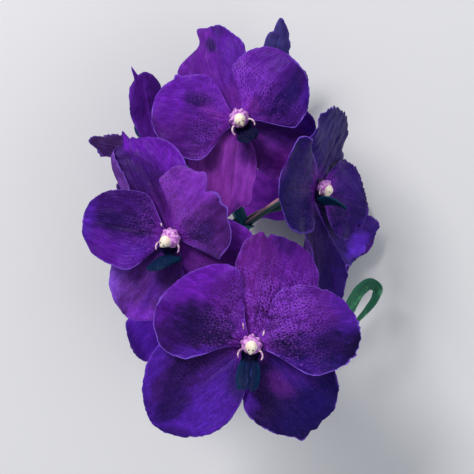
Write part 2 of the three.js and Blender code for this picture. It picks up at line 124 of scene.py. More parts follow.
class Graph:
    """Adds nodes to one node tree and links them."""

    def __init__(self, tree: bpy.types.NodeTree) -> None:
        """Work on a material's tree or a group's tree."""
        self.tree = tree

    def add(self, kind: str, **settings: object) -> bpy.types.Node:
        """Add a node.

        Args:
            kind: the node's type name.
            settings: properties set on the node.

        Returns:
            The new node.
        """
        node = self.tree.nodes.new(kind)
        for name, value in settings.items():
            setattr(node, name, value)
        return node

    def feed(self, socket: bpy.types.NodeSocket, value: Value) -> None:
        """Link a socket to a wire, or set it to a constant."""
        if isinstance(value, Wire):
            self.tree.links.new(value.socket, socket)
        else:
            socket.default_value = value

    def join(self, node: bpy.types.Node, values: Sequence[Value]) -> Wire:
        """Feed a node's inputs in their order and return its first output."""
        for socket, value in zip(node.inputs, values):
            self.feed(socket, value)
        return Wire(self, node.outputs[0])

    def math(self, operation: str, *values: Value) -> Wire:
        """Add a Math node and return its result."""
        return self.join(self.add("ShaderNodeMath", operation=operation), values)

    def point(self, x: Value, y: Value, z: Value = 0.0) -> Wire:
        """Join three numbers into a vector."""
        return self.join(self.add("ShaderNodeCombineXYZ"), (x, y, z))

    def fade(self, value: Value, low: Value, high: Value, start: Value = 0.0, end: Value = 1.0) -> Wire:
        """Map a value from low..high to start..end with a soft step."""
        node = self.add("ShaderNodeMapRange", interpolation_type="SMOOTHSTEP")
        return self.join(node, (value, low, high, start, end))

    def mix(self, share: Value, low: Value, high: Value, blend: str = "MIX") -> Wire:
        """Blend two colours by a share and return the colour."""
        node = self.add("ShaderNodeMix", data_type="RGBA", blend_type=blend)
        for label, value in (("Factor", share), ("A", low), ("B", high)):
            self.feed(node.inputs[label], value)
        return Wire(self, node.outputs["Result"])

    def noise(self, place: Value, scale: float, detail: float = 2.0, rough: float = 0.5) -> Wire:
        """Add a Noise texture and return its value."""
        node = self.add("ShaderNodeTexNoise")
        for label, value in (("Vector", place), ("Scale", scale), ("Detail", detail),
                             ("Roughness", rough)):
            self.feed(node.inputs[label], value)
        return Wire(self, node.outputs[0])

    def cells(self, place: Value, feature: str, randomness: float) -> Wire:
        """Add a flat Voronoi texture at scale 1 and return its distance."""
        node = self.add("ShaderNodeTexVoronoi", voronoi_dimensions="2D", feature=feature)
        for label, value in (("Vector", place), ("Scale", 1.0), ("Randomness", randomness)):
            self.feed(node.inputs[label], value)
        return Wire(self, node.outputs["Distance"])

    def attribute(self, name: str) -> Wire:
        """Read one of the piece's own point values."""
        return Wire(self, self.add("ShaderNodeAttribute", attribute_name=name).outputs["Fac"])

    def group(self, tree: bpy.types.NodeTree, **inputs: Value) -> Wire:
        """Place a shared effect with its inputs by name and return its output."""
        node = self.add("ShaderNodeGroup", node_tree=tree)
        for name, value in inputs.items():
            self.feed(node.inputs[name], value)
        return Wire(self, node.outputs[0])


def shared(name: str, recipe: Callable[..., Wire], **inputs: float) -> bpy.types.NodeTree:
    """Build a shared effect as a node group.

    Args:
        name: the group's name and its output's name.
        recipe: works out the result from the group's graph and its inputs.
        inputs: each input's usual value.

    Returns:
        The node group.
    """
    tree = bpy.data.node_groups.new(name, "ShaderNodeTree")
    for label, usual in inputs.items():
        socket = tree.interface.new_socket(label, in_out="INPUT", socket_type="NodeSocketFloat")
        socket.default_value = usual
    tree.interface.new_socket(name, in_out="OUTPUT", socket_type="NodeSocketFloat")
    graph = Graph(tree)
    given = graph.add("NodeGroupInput").outputs
    result = recipe(graph, *(Wire(graph, given[label]) for label in inputs))
    graph.feed(graph.add("NodeGroupOutput").inputs[0], result)
    return tree


class Effects:
    """The effects that several finishes share, each one a node group built once.

    Along and across are in millimetres on the blade, fan runs from -1 at the right margin to 1 at the
    left one, and share runs from 0 at the root to 1 at the tip.
    """

    def __init__(self) -> None:
        """Build every shared effect."""
        self.net = shared("vein_net", self._net, along=0, fan=0, cell=1.4, veins=20, line=0.12, seed=0)
        self.drops = shared("pale_drops", self._drops, along=0, across=0, long=1.6, wide=0.9, size=0.3,
                            picked=0.4, seed=0)
        self.patch = shared("soft_patches", self._patch, along=0, across=0, long=9, wide=5, low=0.42,
                            high=0.62, seed=0)
        self.margin = shared("margin_band", self._margin, edge=0, along=0, width=0.8, seed=0)
        self.spot = shared("soft_spot", self._spot, share=0, fan=0, at_share=0.5, at_fan=0, long=0.2,
                           wide=0.3)
        self.rays = shared("throat_rays", self._rays, along=0, fan=0, reach=14, count=13, seed=0)
        self.skin = shared("skin_relief", self._skin, along=0, across=0, fan=0, veins=24, cell=0.9)

    @staticmethod
    def _net(graph: Graph, along: Wire, fan: Wire, cell: Wire, veins: Wire, line: Wire,
             seed: Wire) -> Wire:
        """Fine veins that fan out from the claw, joined by cross veins."""
        wobble = graph.noise(graph.point(along, fan, seed), 0.9)
        place = graph.point(along / cell + wobble * 1.6, fan * veins + wobble * 1.1 + seed)
        return graph.fade(graph.cells(place, "DISTANCE_TO_EDGE", 0.9), 0.0, line, 1.0, 0.0)

    @staticmethod
    def _drops(graph: Graph, along: Wire, across: Wire, long: Wire, wide: Wire, size: Wire, picked: Wire,
               seed: Wire) -> Wire:
        """Small pale dots and dashes in loose rows along the blade."""
        distance = graph.cells(graph.point(along / long + seed, across / wide), "F1", 0.85)
        chance = graph.join(graph.add("ShaderNodeSeparateColor"), [distance.beside("Color")])
        dot = graph.fade(distance, size * 0.4, size, 1.0, 0.0)
        return dot * graph.math("LESS_THAN", chance, picked)

    @staticmethod
    def _patch(graph: Graph, along: Wire, across: Wire, long: Wire, wide: Wire, low: Wire, high: Wire,
               seed: Wire) -> Wire:
        """Soft uneven patches, drawn out along the blade."""
        cloud = graph.noise(graph.point(along / long, across / wide, seed), 1.0, 3, 0.55)
        return graph.fade(cloud, low, high)

    @staticmethod
    def _margin(graph: Graph, edge: Wire, along: Wire, width: Wire, seed: Wire) -> Wire:
        """A narrow band along the margin, of uneven width."""
        wide = width * graph.fade(graph.noise(graph.point(along * 0.22, seed), 1.0), 0.3, 0.7, 0.35, 1.5)
        return graph.fade(edge, wide * 0.3, wide, 1.0, 0.0)

    @staticmethod
    def _spot(graph: Graph, share: Wire, fan: Wire, at_share: Wire, at_fan: Wire, long: Wire,
              wide: Wire) -> Wire:
        """One soft spot at a place on the blade."""
        up, out = (share - at_share) / long, (fan - at_fan) / wide
        return graph.fade(up * up + out * out, 0.0, 2.2, 1.0, 0.0)

    @staticmethod
    def _rays(graph: Graph, along: Wire, fan: Wire, reach: Wire, count: Wire, seed: Wire) -> Wire:
        """Fine uneven strokes that run out of the throat and die away."""
        strokes = graph.noise(graph.point(fan * count, along * 0.16, seed), 1.0, 3, 0.6)
        return graph.fade(strokes, 0.47, 0.66) * graph.fade(along, 3.0, reach, 1.0, 0.0)

    @staticmethod
    def _skin(graph: Graph, along: Wire, across: Wire, fan: Wire, veins: Wire, cell: Wire) -> Wire:
        """The relief of the skin: long veins and raised cells."""
        drift = graph.noise(graph.point(along, fan), 0.12)
        wave = graph.math("SINE", (fan + drift * 0.12) * veins)
        return wave * 0.3 - graph.cells(graph.point(along / cell, across / cell), "F1", 0.9) * 0.5


class Look(Graph):
    """A material in the making: one Principled shader and a colour painted in layers."""

    along: Wire
    across: Wire
    edge: Wire
    fan: Wire
    share: Wire

    def __init__(self, name: str, effects: Optional[Effects] = None) -> None:
        """Start a material by its name, with the shared effects at hand."""
        self.result = bpy.data.materials.new(name)
        self.result.use_nodes = True
        super().__init__(self.result.node_tree)
        self.shader = self.tree.nodes["Principled BSDF"].inputs
        self.effects = effects
        self.colour: Value = dye(255, 255, 255)

    def read(self, *names: str) -> None:
        """Read point values of a sheet or stem and keep them for the effects."""
        for name in names:
            setattr(self, name, self.attribute(name))

    def paint(self, mask: Value, tone: Value, blend: str = "MIX") -> None:
        """Lay a tone over the colour where the mask is above 0."""
        self.colour = self.mix(mask, self.colour, tone, blend)

    def patch(self, long: float, wide: float, seed: float, low: float = 0.42, high: float = 0.62) -> Wire:
        """Soft patches of a length and width in millimetres; low and high set how much they cover."""
        return self.group(self.effects.patch, along=self.along, across=self.across, long=long, wide=wide,
                          low=low, high=high, seed=seed)

    def net(self, cell: float, veins: float, line: float, seed: float) -> Wire:
        """A net of veins: cell length, veins from margin to middle, and line width."""
        return self.group(self.effects.net, along=self.along, fan=self.fan, cell=cell, veins=veins,
                          line=line, seed=seed)

    def margin(self, width: float, seed: float) -> Wire:
        """A band along the margin."""
        return self.group(self.effects.margin, edge=self.edge, along=self.along, width=width, seed=seed)

    def gloss(self, rough: Value, shine: float) -> None:
        """Set how rough and how shiny the surface is."""
        self.feed(self.shader["Roughness"], rough)
        self.shader["Specular IOR Level"].default_value = shine

    def relief(self, height: Value, strength: float, depth: float) -> None:
        """Raise the surface by a height; depth is its full range in millimetres."""
        node = self.add("ShaderNodeBump")
        for label, value in (("Strength", strength), ("Distance", depth * MM), ("Height", height)):
            self.feed(node.inputs[label], value)
        self.feed(self.shader["Normal"], Wire(self, node.outputs[0]))

    def skin(self, veins: float, cell: float, strength: float, depth: float) -> None:
        """Raise the surface with veins and cells."""
        self.relief(self.group(self.effects.skin, along=self.along, across=self.across, fan=self.fan,
                               veins=veins, cell=cell), strength, depth)

    def done(self) -> bpy.types.Material:
        """Feed the painted colour to the shader and return the material."""
        self.feed(self.shader["Base Color"], self.colour)
        return self.result


# --- Finishes ---

LIT = (0.86, 0.52, 0.9)             # the shares of red, green and blue that the light asks of a tone


def seen(red: int, green: int, blue: int) -> Colour:
    """The linear tone of a tepal that should look like this display colour in the studio's light."""
    linear = dye(red, green, blue)
    return (linear[0] * LIT[0], linear[1] * LIT[1], linear[2] * LIT[2], 1.0)


LAVENDER = seen(156, 92, 226)
# painted highlight of the margins, where they are thin, curl up and catch the light
RIM_HIGHLIGHT = seen(150, 128, 240)
# deep magenta of the throat, dark as painted shade of its recess
THROAT = seen(72, 12, 98)
GLOW_THROAT = seen(158, 78, 214)
# near-black, laid as painted shade along the crease
NIGHT = seen(20, 10, 48)
HALO = seen(140, 50, 190)
# painted sparkle of the petal's fine cells
GLINT_SPECKLE_TONE = seen(170, 112, 225)
LIGHTEN = (2.0, 1.9, 1.95, 1.0)     # multiplies a tone
DARKEN = (0.6, 0.42, 0.66, 1.0)       # multiplies a tone
TEPAL_SHINE = 0.08
LIP_SHINE = 0.06
GREEN_SHINE = 0.4


@dataclass(frozen=True)
class Spot:
    """A soft spot of another tone, also painted light and shade: its place as shares of the blade, its
    reach and its strength.
    """

    share: float                    # from 0 at the root to 1 at the tip
    fan: float                      # from -1 at the right margin to 1 at the left
    long: float
    wide: float
    tone: Colour
    strength: float = 0.75


@dataclass(frozen=True)
class TepalFinish:
    """The face of one tepal: two halves, spots, net of veins, drops, crease, margin, painted light and
    shade.
    """

    # the two halves: the tepal's colour, their difference partly painted light and shade across the
    # crease
    left: Colour                    # half towards larger angles
    right: Colour
    spots: tuple[Spot, ...] = ()
    patch_darkening: float = 0.6              # how much the soft patches darken it
    strokes: float = 0.3            # painted highlights: bright soft marks on the skin's ripples
    squares: float = 0.3            # the wide soft net of the outer half
    halo: float = 0.3               # magenta glow round the throat
    glitter: float = 0.15           # painted sparkle: fine bright speckle of the inner half
    net: float = 0.25
    net_left: float = 1.0           # how strong the net is on each half
    net_right: float = 1.0
    net_reach: float = 0.75
    drops: float = 0.08
    # strength of the painted shade along the crease
    crease: float = 0.35
    # strength of the painted highlight along each half's margin
    rim_left: float = 0.3
    rim_right: float = 0.3
    # strength of the throat's deep magenta and painted shade
    throat: float = 0.3
    throat_reach: float = 9.0       # how far the deep magenta and its painted shade run out of the throat, in millimetres
    rays: float = 0.6

    CELL = 1.6                      # of the fine net: length of a cell in millimetres
    VEINS = 15.0                    # from the middle to a margin
    LINE = 0.26                     # their width
    RIM = 0.75                      # width of the painted highlight along the margin, in millimetres

    def _ground(self, look: Look, seed: float) -> None:
        """Paint the two halves and the spots, colour with painted light and shade, with soft uneven
        borders.
        """
        wander = look.noise(look.point(look.along * 0.14, look.across * 0.2, seed), 1.0, 3) - 0.5
        fan = look.fan + wander * 0.5
        share = look.share + wander * 0.16
        # the halves: the tepal's colour, partly painted light on one side of the crease and painted shade
        # on the other
        look.colour = look.mix(look.fade(fan, -0.3, 0.3), self.right, self.left)
        # spots: patches of colour, of painted shade in valleys and shaded parts, and of painted light on
        # bulges
        for spot in self.spots:
            mask = look.group(look.effects.spot, share=share, fan=fan, at_share=spot.share,
                              at_fan=spot.fan, long=spot.long, wide=spot.wide)
            look.paint(mask * spot.strength, spot.tone)

    def _throat(self, look: Look, seed: float) -> None:
        """Paint shade along the crease, the deep throat in magenta and painted shade, its glow and its
        rays.
        """
        # painted shade along the crease, fading towards the tip
        crease_shade = look.fade(abs(look.fan), 0.0, look.fade(look.share, 0.0, 1.0, 0.2, 0.04), 1.0, 0.0)
        look.paint(crease_shade * look.fade(look.share, 0.5, 0.9, self.crease, 0.0), NIGHT)
        # the throat's deep magenta, darkened as painted shade of the recess under the column
        deep = look.fade(look.along, self.throat_reach * 0.45, self.throat_reach, self.throat, 0.0)
        look.paint(deep, THROAT)
        look.paint(look.fade(look.along, 4.5, 9.5, self.halo, 0.0), HALO)
        rays = look.group(look.effects.rays, along=look.along, fan=look.fan, seed=seed)
        look.paint(rays * self.rays, GLOW_THROAT)

    def _marks(self, look: Look, seed: float) -> None:
        """Paint the net of veins, the painted sparkle, the drops and the painted highlight of the margin.
        """
        reach = look.fade(look.share, self.net_reach - 0.35, self.net_reach + 0.15, 1.0, 0.0)
        half = look.fade(look.fan, -0.25, 0.25, self.net_right * self.net, self.net_left * self.net)
        broken = look.patch(long=6.0, wide=3.0, low=0.3, high=0.6, seed=seed + 2)
        net = look.net(cell=self.CELL, veins=self.VEINS, line=self.LINE, seed=seed)
        look.paint(net * broken * half * reach, LAVENDER)
        # painted sparkle: fine bright speckle of the inner half
        sparkle_mask = look.patch(long=1.2, wide=0.8, low=0.55, high=0.66, seed=seed + 6)
        look.paint(sparkle_mask * look.fade(look.share, 0.1, self.net_reach, self.glitter, 0.0), GLINT_SPECKLE_TONE)
        drops = look.group(look.effects.drops, along=look.along, across=look.across, size=0.36,
                           picked=0.3, seed=seed)
        look.paint(drops * self.drops, LAVENDER)
        # painted highlight along the margins
        rim = look.fade(look.fan, -0.3, 0.3, self.rim_right, self.rim_left)
        look.paint(look.margin(self.RIM, seed) * rim, RIM_HIGHLIGHT)

    def material(self, name: str, effects: Effects, seed: float) -> bpy.types.Material:
        """Make the material.

        Args:
            name: the material's name.
            effects: the shared effects.
            seed: shifts the patterns, so that no two tepals repeat.

        Returns:
            The new material.
        """
        look = Look(name, effects)
        look.read("along", "across", "edge", "fan", "share")
        cloud = look.patch(long=9.0, wide=4.0, seed=seed)
        # soft patches of painted highlight on the ripples, which also vary the wide net
        highlight_patch = look.patch(long=3.4, wide=2.0, low=0.46, high=0.7, seed=seed + 4)
        self._ground(look, seed)
        look.paint(cloud * self.patch_darkening, DARKEN, "MULTIPLY")
        # painted highlights where the skin's ripples catch the light
        look.paint(highlight_patch * self.strokes, LIGHTEN, "MULTIPLY")
        outer = look.fade(look.share, 0.3, 0.7, 0.0, self.squares) * look.fade(highlight_patch, 0.0, 1.0, 0.5, 1.0)
        squares = look.net(cell=3.0, veins=8.0, line=0.5, seed=seed + 1)
        look.paint(squares * outer, LIGHTEN, "MULTIPLY")
        self._throat(look, seed)
        self._marks(look, seed)
        look.gloss(rough=look.fade(cloud, 0.0, 1.0, 0.42, 0.52), shine=TEPAL_SHINE)
        look.skin(veins=70.0, cell=0.8, strength=0.35, depth=0.25)
        return look.done()


def face(left: Colour, right: Colour, *spots: Spot, **strengths: float) -> TepalFinish:
    """The face of a tepal from the tones of its halves, its spots and its other strengths by name."""
    return TepalFinish(left, right, spots, **strengths)


@dataclass(frozen=True)
class BackFinish:
    """The back of the tepals, paler and greyer, with long veins."""

    ground: Colour = seen(86, 34, 140)
    deep: Colour = seen(58, 22, 106)
    vein: Colour = seen(112, 66, 176)
    shade: Colour = seen(40, 20, 90)
    tip_shade: float = 0.0          # how dark it gets towards the tip
    # strength of the painted highlight along the margin
    rim: float = 0.28

    def material(self, name: str, effects: Effects) -> bpy.types.Material:
        """Make the material from the shared effects."""
        look = Look(name, effects)
        look.read("along", "across", "edge", "fan", "share")
        cloud = look.patch(long=14.0, wide=6.0, seed=3.0)
        look.colour = look.mix(cloud, self.deep, self.ground)
        look.paint(look.net(cell=5.0, veins=11.0, line=0.1, seed=5.0) * 0.45, self.vein)
        look.paint(look.fade(look.share, 0.7, 0.98, 0.0, self.tip_shade), self.shade)
        # painted highlight along the margin
        look.paint(look.margin(width=1.2, seed=2.0) * self.rim, RIM_HIGHLIGHT)
        look.gloss(rough=look.fade(cloud, 0.0, 1.0, 0.55, 0.45), shine=TEPAL_SHINE)
        look.skin(veins=46.0, cell=1.0, strength=0.45, depth=0.3)
        return look.done()


@dataclass(frozen=True)
class WaxFinish:
    """A smooth waxy flower part: column, cap, wings, hub or lip throat, whose near-black is painted
    shade.
    """

    ground: Colour
    flush: Colour
    spots: float = 5.0              # patches per 10 mm
    rough: float = 0.35
    grain: float = 0.15
    shine: float = 0.4

    def material(self, name: str) -> bpy.types.Material:
        """Make the material from its own noise."""
        look = Look(name)
        place = Wire(look, look.add("ShaderNodeTexCoord").outputs["Object"])
        cloud = look.noise(place, self.spots * 100, 3, 0.55)
        look.colour = look.mix(look.fade(cloud, 0.4, 0.62), self.ground, self.flush)
        rough = look.fade(cloud, 0.3, 0.7, self.rough - 0.05, self.rough + 0.1)
        look.gloss(rough=rough, shine=self.shine)
        look.relief(look.noise(place, 2600.0, 2, 0.6), strength=self.grain, depth=0.2)
        return look.done()


@dataclass(frozen=True)
class LipFinish:
    """The lip: dark blue-green, with paler streaks between its ridges, partly painted highlights, and
    painted shade at its root.
    """

    ground: Colour = dye(14, 22, 62)
    # paler tone of the streaks and margin, partly painted highlight
    streak: Colour = dye(48, 70, 135)
    side: Colour = dye(8, 38, 72)
    # painted shade at the root, under the column
    root: Colour = dye(10, 8, 26)

    def material(self, name: str, effects: Effects) -> bpy.types.Material:
        """Make the material from the shared effects."""
        look = Look(name, effects)
        look.read("along", "across", "edge", "fan")
        apart = abs(look.fan)
        streaks = look.patch(long=5.0, wide=0.7, low=0.5, high=0.68, seed=7.0)
        middle = look.fade(apart, 0.1, 0.45, 0.8, 0.12) * look.fade(look.along, 1.0, 5.0)
        look.colour = look.mix(look.fade(apart, 0.3, 0.9), self.ground, self.side)
        # paler streaks down the middle: partly the lip's colour, partly painted highlights on its ridges
        look.paint(streaks * middle, self.streak)
        # painted shade at the lip's root, under the column
        look.paint(look.fade(look.along, 0.0, 3.0, 0.75, 0.0), self.root)
        # a paler band along the margin, partly painted highlight
        look.paint(look.margin(width=0.4, seed=1.0) * 0.35, self.streak)
        look.gloss(rough=look.fade(streaks, 0.0, 1.0, 0.5, 0.62), shine=LIP_SHINE)
        look.skin(veins=34.0, cell=0.6, strength=0.35, depth=0.2)
        return look.done()


@dataclass(frozen=True)
class GreenFinish:
    """Stem, stalks and leaf: green with long fibres and a flush of another colour, on a stalk's flank
    partly painted highlight.
    """

    ground: Colour
    deep: Colour
    flush: Colour
    fibres: float = 22
    rough: float = 0.42
    flush_low: float = 0.52
    flank: float = 0.0              # the pink flush along one flank, partly painted highlight of the lit top side
    end: Optional[Colour] = None    # the tone towards the flower

    def material(self, name: str, effects: Effects) -> bpy.types.Material:
        """Make the material from the shared effects."""
        look = Look(name, effects)
        look.read("along", "across", "fan", "share")
        fibre = look.patch(long=26.0, wide=0.55, low=0.4, high=0.66, seed=1.0)
        look.colour = look.mix(fibre, self.deep, self.ground)
        look.paint(look.patch(long=9.0, wide=4.0, low=self.flush_low, high=0.75, seed=8.0), self.flush)
        if self.flank:
            # the pink band along the stalk's upper flank: partly its own flush, partly painted highlight
            # of the lit top
            look.paint(look.fade(abs(look.fan + 0.04), 0.14, 0.3, self.flank, 0.0), self.flush)
        if self.end is not None:
            look.paint(look.fade(look.share, 0.5, 0.8), self.end)
        look.gloss(rough=look.fade(fibre, 0.0, 1.0, self.rough + 0.12, self.rough), shine=GREEN_SHINE)
        look.skin(veins=self.fibres, cell=0.7, strength=0.4, depth=0.3)
        return look.done()


# --- Mesh helpers ---

POINT_VALUES = ("along", "across", "edge", "fan", "share")
ROUND_EDGE = 5.0                    # the distance from a margin that a round body states, as it has none


class Slot(Enum):
    """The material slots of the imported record."""

    TEPAL = "tepal"
    COLUMN = "column"
    LIP = "lip"
    STEM = "stem"
    LEAF = "leaf"


@dataclass(frozen=True)
class Part:
    """A part of the plant that pieces are added to: its CAD node and its slot in the record."""

    node: str
    slot: Slot

    def add(self, bm: bmesh.types.BMesh, name: str, *materials: bpy.types.Material,
            place: Matrix = Matrix.Identity(4), depth: float = 0.0, rounds: int = 0) -> None:
        """Turn a bmesh in millimetres into a finished piece.

        Args:
            bm: the mesh, freed afterwards.
            name: the piece's name.
            materials: its materials, in slot order.
            place: turns and moves the mesh from its own frame to the spray's.
            depth: full thickness of a sheet in millimetres, thinner where its vertex weights are low.
            rounds: levels of subdivision.
        """
        bm.transform(place)
        bm.transform(Matrix.Scale(MM, 4))
        for face in bm.faces:
            face.smooth = True
        mesh = bpy.data.meshes.new(name)
        bm.to_mesh(mesh)
        bm.free()
        for material in materials:
            mesh.materials.append(material)
        piece = bpy.data.objects.new(name, mesh)
        bpy.context.scene.collection.objects.link(piece)
        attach(piece, "root")
        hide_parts(self.node)
        if depth:
            solid = piece.modifiers.new("thickness", "SOLIDIFY")
            solid.thickness = depth * MM
            solid.offset = 0
            solid.use_even_offset = False
            solid.material_offset = len(materials) - 1
            solid.vertex_group = piece.vertex_groups.new(name="body").name
            solid.thickness_vertex_group = 0.0
        if rounds:
            rounding = piece.modifiers.new("rounding", "SUBSURF")
            rounding.levels = rounding.render_levels = rounds
        LOG.info("%s: %d faces, part of %s", name, len(mesh.polygons), self.node)


@dataclass
class Place:
    """A point of a sheet and what its material needs to know there."""

    at: Vector
    along: float
    across: float
    edge: float
    fan: float
    share: float
    body: float = 1.0               # share of the full thickness


def blank() -> tuple[bmesh.types.BMesh, dict[str, bmesh.types.BMLayerItem]]:
    """Start a mesh with a UV map and a layer for each point value."""
    bm = bmesh.new()
    bm.loops.layers.uv.new("UVMap")
    return bm, {key: bm.verts.layers.float.new(key) for key in POINT_VALUES}


def sheet(columns: int, rows: int, shape: Callable[[float, float], Place]) -> bmesh.types.BMesh:
    """A sheet shaped from a grid.

    Args:
        columns: faces across.
        rows: faces from root to end.
        shape: gives the place for v, from -1 on the right to 1 on the left, and s, from 0 at the
            root to 1 at the end.

    Returns:
        The sheet, with a UV map and its point values.
    """
    bm, layers = blank()
    deform = bm.verts.layers.deform.verify()
    uv = bm.loops.layers.uv.active
    bmesh.ops.create_grid(bm, x_segments=columns, y_segments=rows, size=1.0)
    for face in bm.faces:
        for loop in face.loops:
            loop[uv].uv = (0.5 + 0.5 * loop.vert.co.x, 0.5 + 0.5 * loop.vert.co.y)
    for vert in bm.verts:
        place = shape(-vert.co.x, 0.5 + 0.5 * vert.co.y)
        vert.co = place.at
        for key, layer in layers.items():
            vert[layer] = getattr(place, key)
        vert[deform][0] = place.body
    bmesh.ops.remove_doubles(bm, verts=bm.verts, dist=1e-4)
    return bm


def closed(bm: bmesh.types.BMesh) -> bmesh.types.BMesh:
    """Fill the open ends of a body, turn its faces outward and return it."""
    bmesh.ops.holes_fill(bm, edges=[e for e in bm.edges if e.is_boundary])
    bmesh.ops.recalc_face_normals(bm, faces=bm.faces)
    return bm


def spun(profile: Sequence[tuple[float, float]], steps: int) -> bmesh.types.BMesh:
    """A closed round body, spun about Z from the radius and height of each point of its profile."""
    bm = bmesh.new()
    line = [bm.verts.new((radius, 0, height)) for radius, height in profile]
    edges = [bm.edges.new(pair) for pair in zip(line, line[1:])]
    bmesh.ops.spin(bm, geom=line + edges, cent=(0, 0, 0), axis=(0, 0, 1), angle=2 * math.pi,
                   steps=steps, use_merge=True, use_duplicate=False)
    bmesh.ops.remove_doubles(bm, verts=bm.verts, dist=1e-3)
    return closed(bm)


class Spline:
    """A smooth curve through points, with knots spaced by the root of their distance."""

    def __init__(self, points: Sequence[Triple]) -> None:
        """Keep the points, with one more past each end."""
        core = [Vector(p) for p in points]
        self.points = [2 * core[0] - core[1], *core, 2 * core[-1] - core[-2]]
        self.spans = len(core) - 1

    def at(self, share: float) -> Vector:
        """The point at a share of the spans, from 0 to 1."""
        span = min(int(share * self.spans), self.spans - 1)
        weight = share * self.spans - span
        p0, p1, p2, p3 = self.points[span:span + 4]
        d0, d1, d2 = ((a - b).length ** 0.5 for a, b in ((p0, p1), (p1, p2), (p2, p3)))
        t1 = ((p1 - p0) / d0 - (p2 - p0) / (d0 + d1) + (p2 - p1) / d1) * d1
        t2 = ((p2 - p1) / d1 - (p3 - p1) / (d1 + d2) + (p3 - p2) / d2) * d1
        c2 = -3 * p1 + 3 * p2 - 2 * t1 - t2
        c3 = 2 * p1 - 2 * p2 + t1 + t2
        return p1 + t1 * weight + c2 * weight ** 2 + c3 * weight ** 3

    def heading(self, share: float) -> Vector:
        """The direction at a share of the spans."""
        low, high = max(share - 1e-3, 0.0), min(share + 1e-3, 1.0)
        return (self.at(high) - self.at(low)).normalized()


def sweep(stations: Sequence[tuple[Vector, float]], sides: int, ribs: float = 0.0,
          rib_count: int = 5) -> bmesh.types.BMesh:
    """A closed round body along a row of stations, by extruding a ring from one to the next.

    Args:
        stations: centre and radius of each ring.
        sides: corners of a ring.
        ribs: share of the radius by which long ribs stand out.
        rib_count: number of ribs.

    Returns:
        The body, with its point values.
    """
    bm, layers = blank()
    ring = bmesh.ops.create_circle(bm, cap_ends=False, radius=1.0, segments=sides)["verts"]
    unit = [v.co.copy() for v in ring]
    edges = list(bm.edges)
    side = Vector((-1, 0, 0))
    length = 0.0
    for index, (centre, radius) in enumerate(stations):
        if index:
            grown = bmesh.ops.extrude_edge_only(bm, edges=edges)["geom"]
            ring = [g for g in grown if isinstance(g, bmesh.types.BMVert)]
            edges = [g for g in grown if isinstance(g, bmesh.types.BMEdge)
                     and all(v in ring for v in g.verts)]
            length += (centre - stations[index - 1][0]).length
        before = stations[max(index - 1, 0)][0]
        after = stations[min(index + 1, len(stations) - 1)][0]
        heading = (after - before).normalized()
        side = (side - heading * side.dot(heading)).normalized()
        up = heading.cross(side)
        for vert, corner in zip(ring, unit):
            angle = math.atan2(corner.y, corner.x)
            out = radius * (1 + ribs * math.cos(rib_count * angle))
            vert.co = centre + side * (corner.x * out) + up * (corner.y * out)
            values = (length, radius * angle, ROUND_EDGE, angle / math.pi, index / (len(stations) - 1))
            for layer, value in zip(layers.values(), values):
                vert[layer] = value
    return closed(bm)


def laid_height(z: float) -> float:
    """Height of a sheet that would dip below the lying surface, curved flat onto it."""
    above = z - LAID_REST
    if above <= -LAID_BLEND:
        return LAID_REST
    return z if above >= LAID_BLEND else LAID_REST + (above + LAID_BLEND) ** 2 / (4 * LAID_BLEND)


# --- Tepals ---

class Kind(Enum):
    """The three kinds of tepal."""

    DORSAL = "dorsal_sepal"
    PETAL = "petal"
    LATERAL = "lateral_sepal"


USUAL: dict[Kind, dict[str, float]] = {
    Kind.DORSAL: dict(length=44, left=19, right=19, rise=12, bend=-20, cup=10, belly=0.58, shoulder=0.9,
                      ruffle=0.9, phase=0, back=2.2),
    Kind.PETAL: dict(length=44, left=21, right=21, rise=18, bend=-26, cup=8, belly=0.56, shoulder=0.8,
                     ruffle=1.1, phase=1, back=0),
    Kind.LATERAL: dict(length=46, left=20, right=20, rise=6, bend=-16, cup=8, belly=0.6, shoulder=0.9,
                       ruffle=0.9, phase=2, back=3.2),
}


@dataclass(frozen=True)
class Roll:
    """A margin rolled up over the face."""

    side: int                       # 1 on the left, -1 on the right
    start: float                    # from and to, as shares of the blade
    end: float
    width: float = 1.6              # of the rolled band
    turn: float = 70
    radius: float = 1.0
    grow: float = 0.45              # how much of the band the blade gains in width

    def band(self, t: float, v: float) -> float:
        """Width of the rolled band at t along the blade and v across it."""
        if v * self.side <= 0 or not self.start < t < self.end:
            return 0.0
        return self.width * math.sin(math.pi * (t - self.start) / (self.end - self.start)) ** 0.7

    def curl(self, width: float, flat: float) -> tuple[float, float]:
        """Roll up what lies past the flat part of the blade.

        Args:
            width: a point's distance from the midline, above 0 on the left.
            flat: half width of the flat part.

        Returns:
            The point's new distance from the midline and its height.
        """
        over = abs(width) - flat
        if over <= 0:
            return width, 0.0
        turned = min(over / self.radius, math.radians(self.turn))
        rest = over - turned * self.radius
        out = flat + self.radius * math.sin(turned) + rest * math.cos(turned)
        return self.side * out, self.radius * (1 - math.cos(turned)) + rest * math.sin(turned)


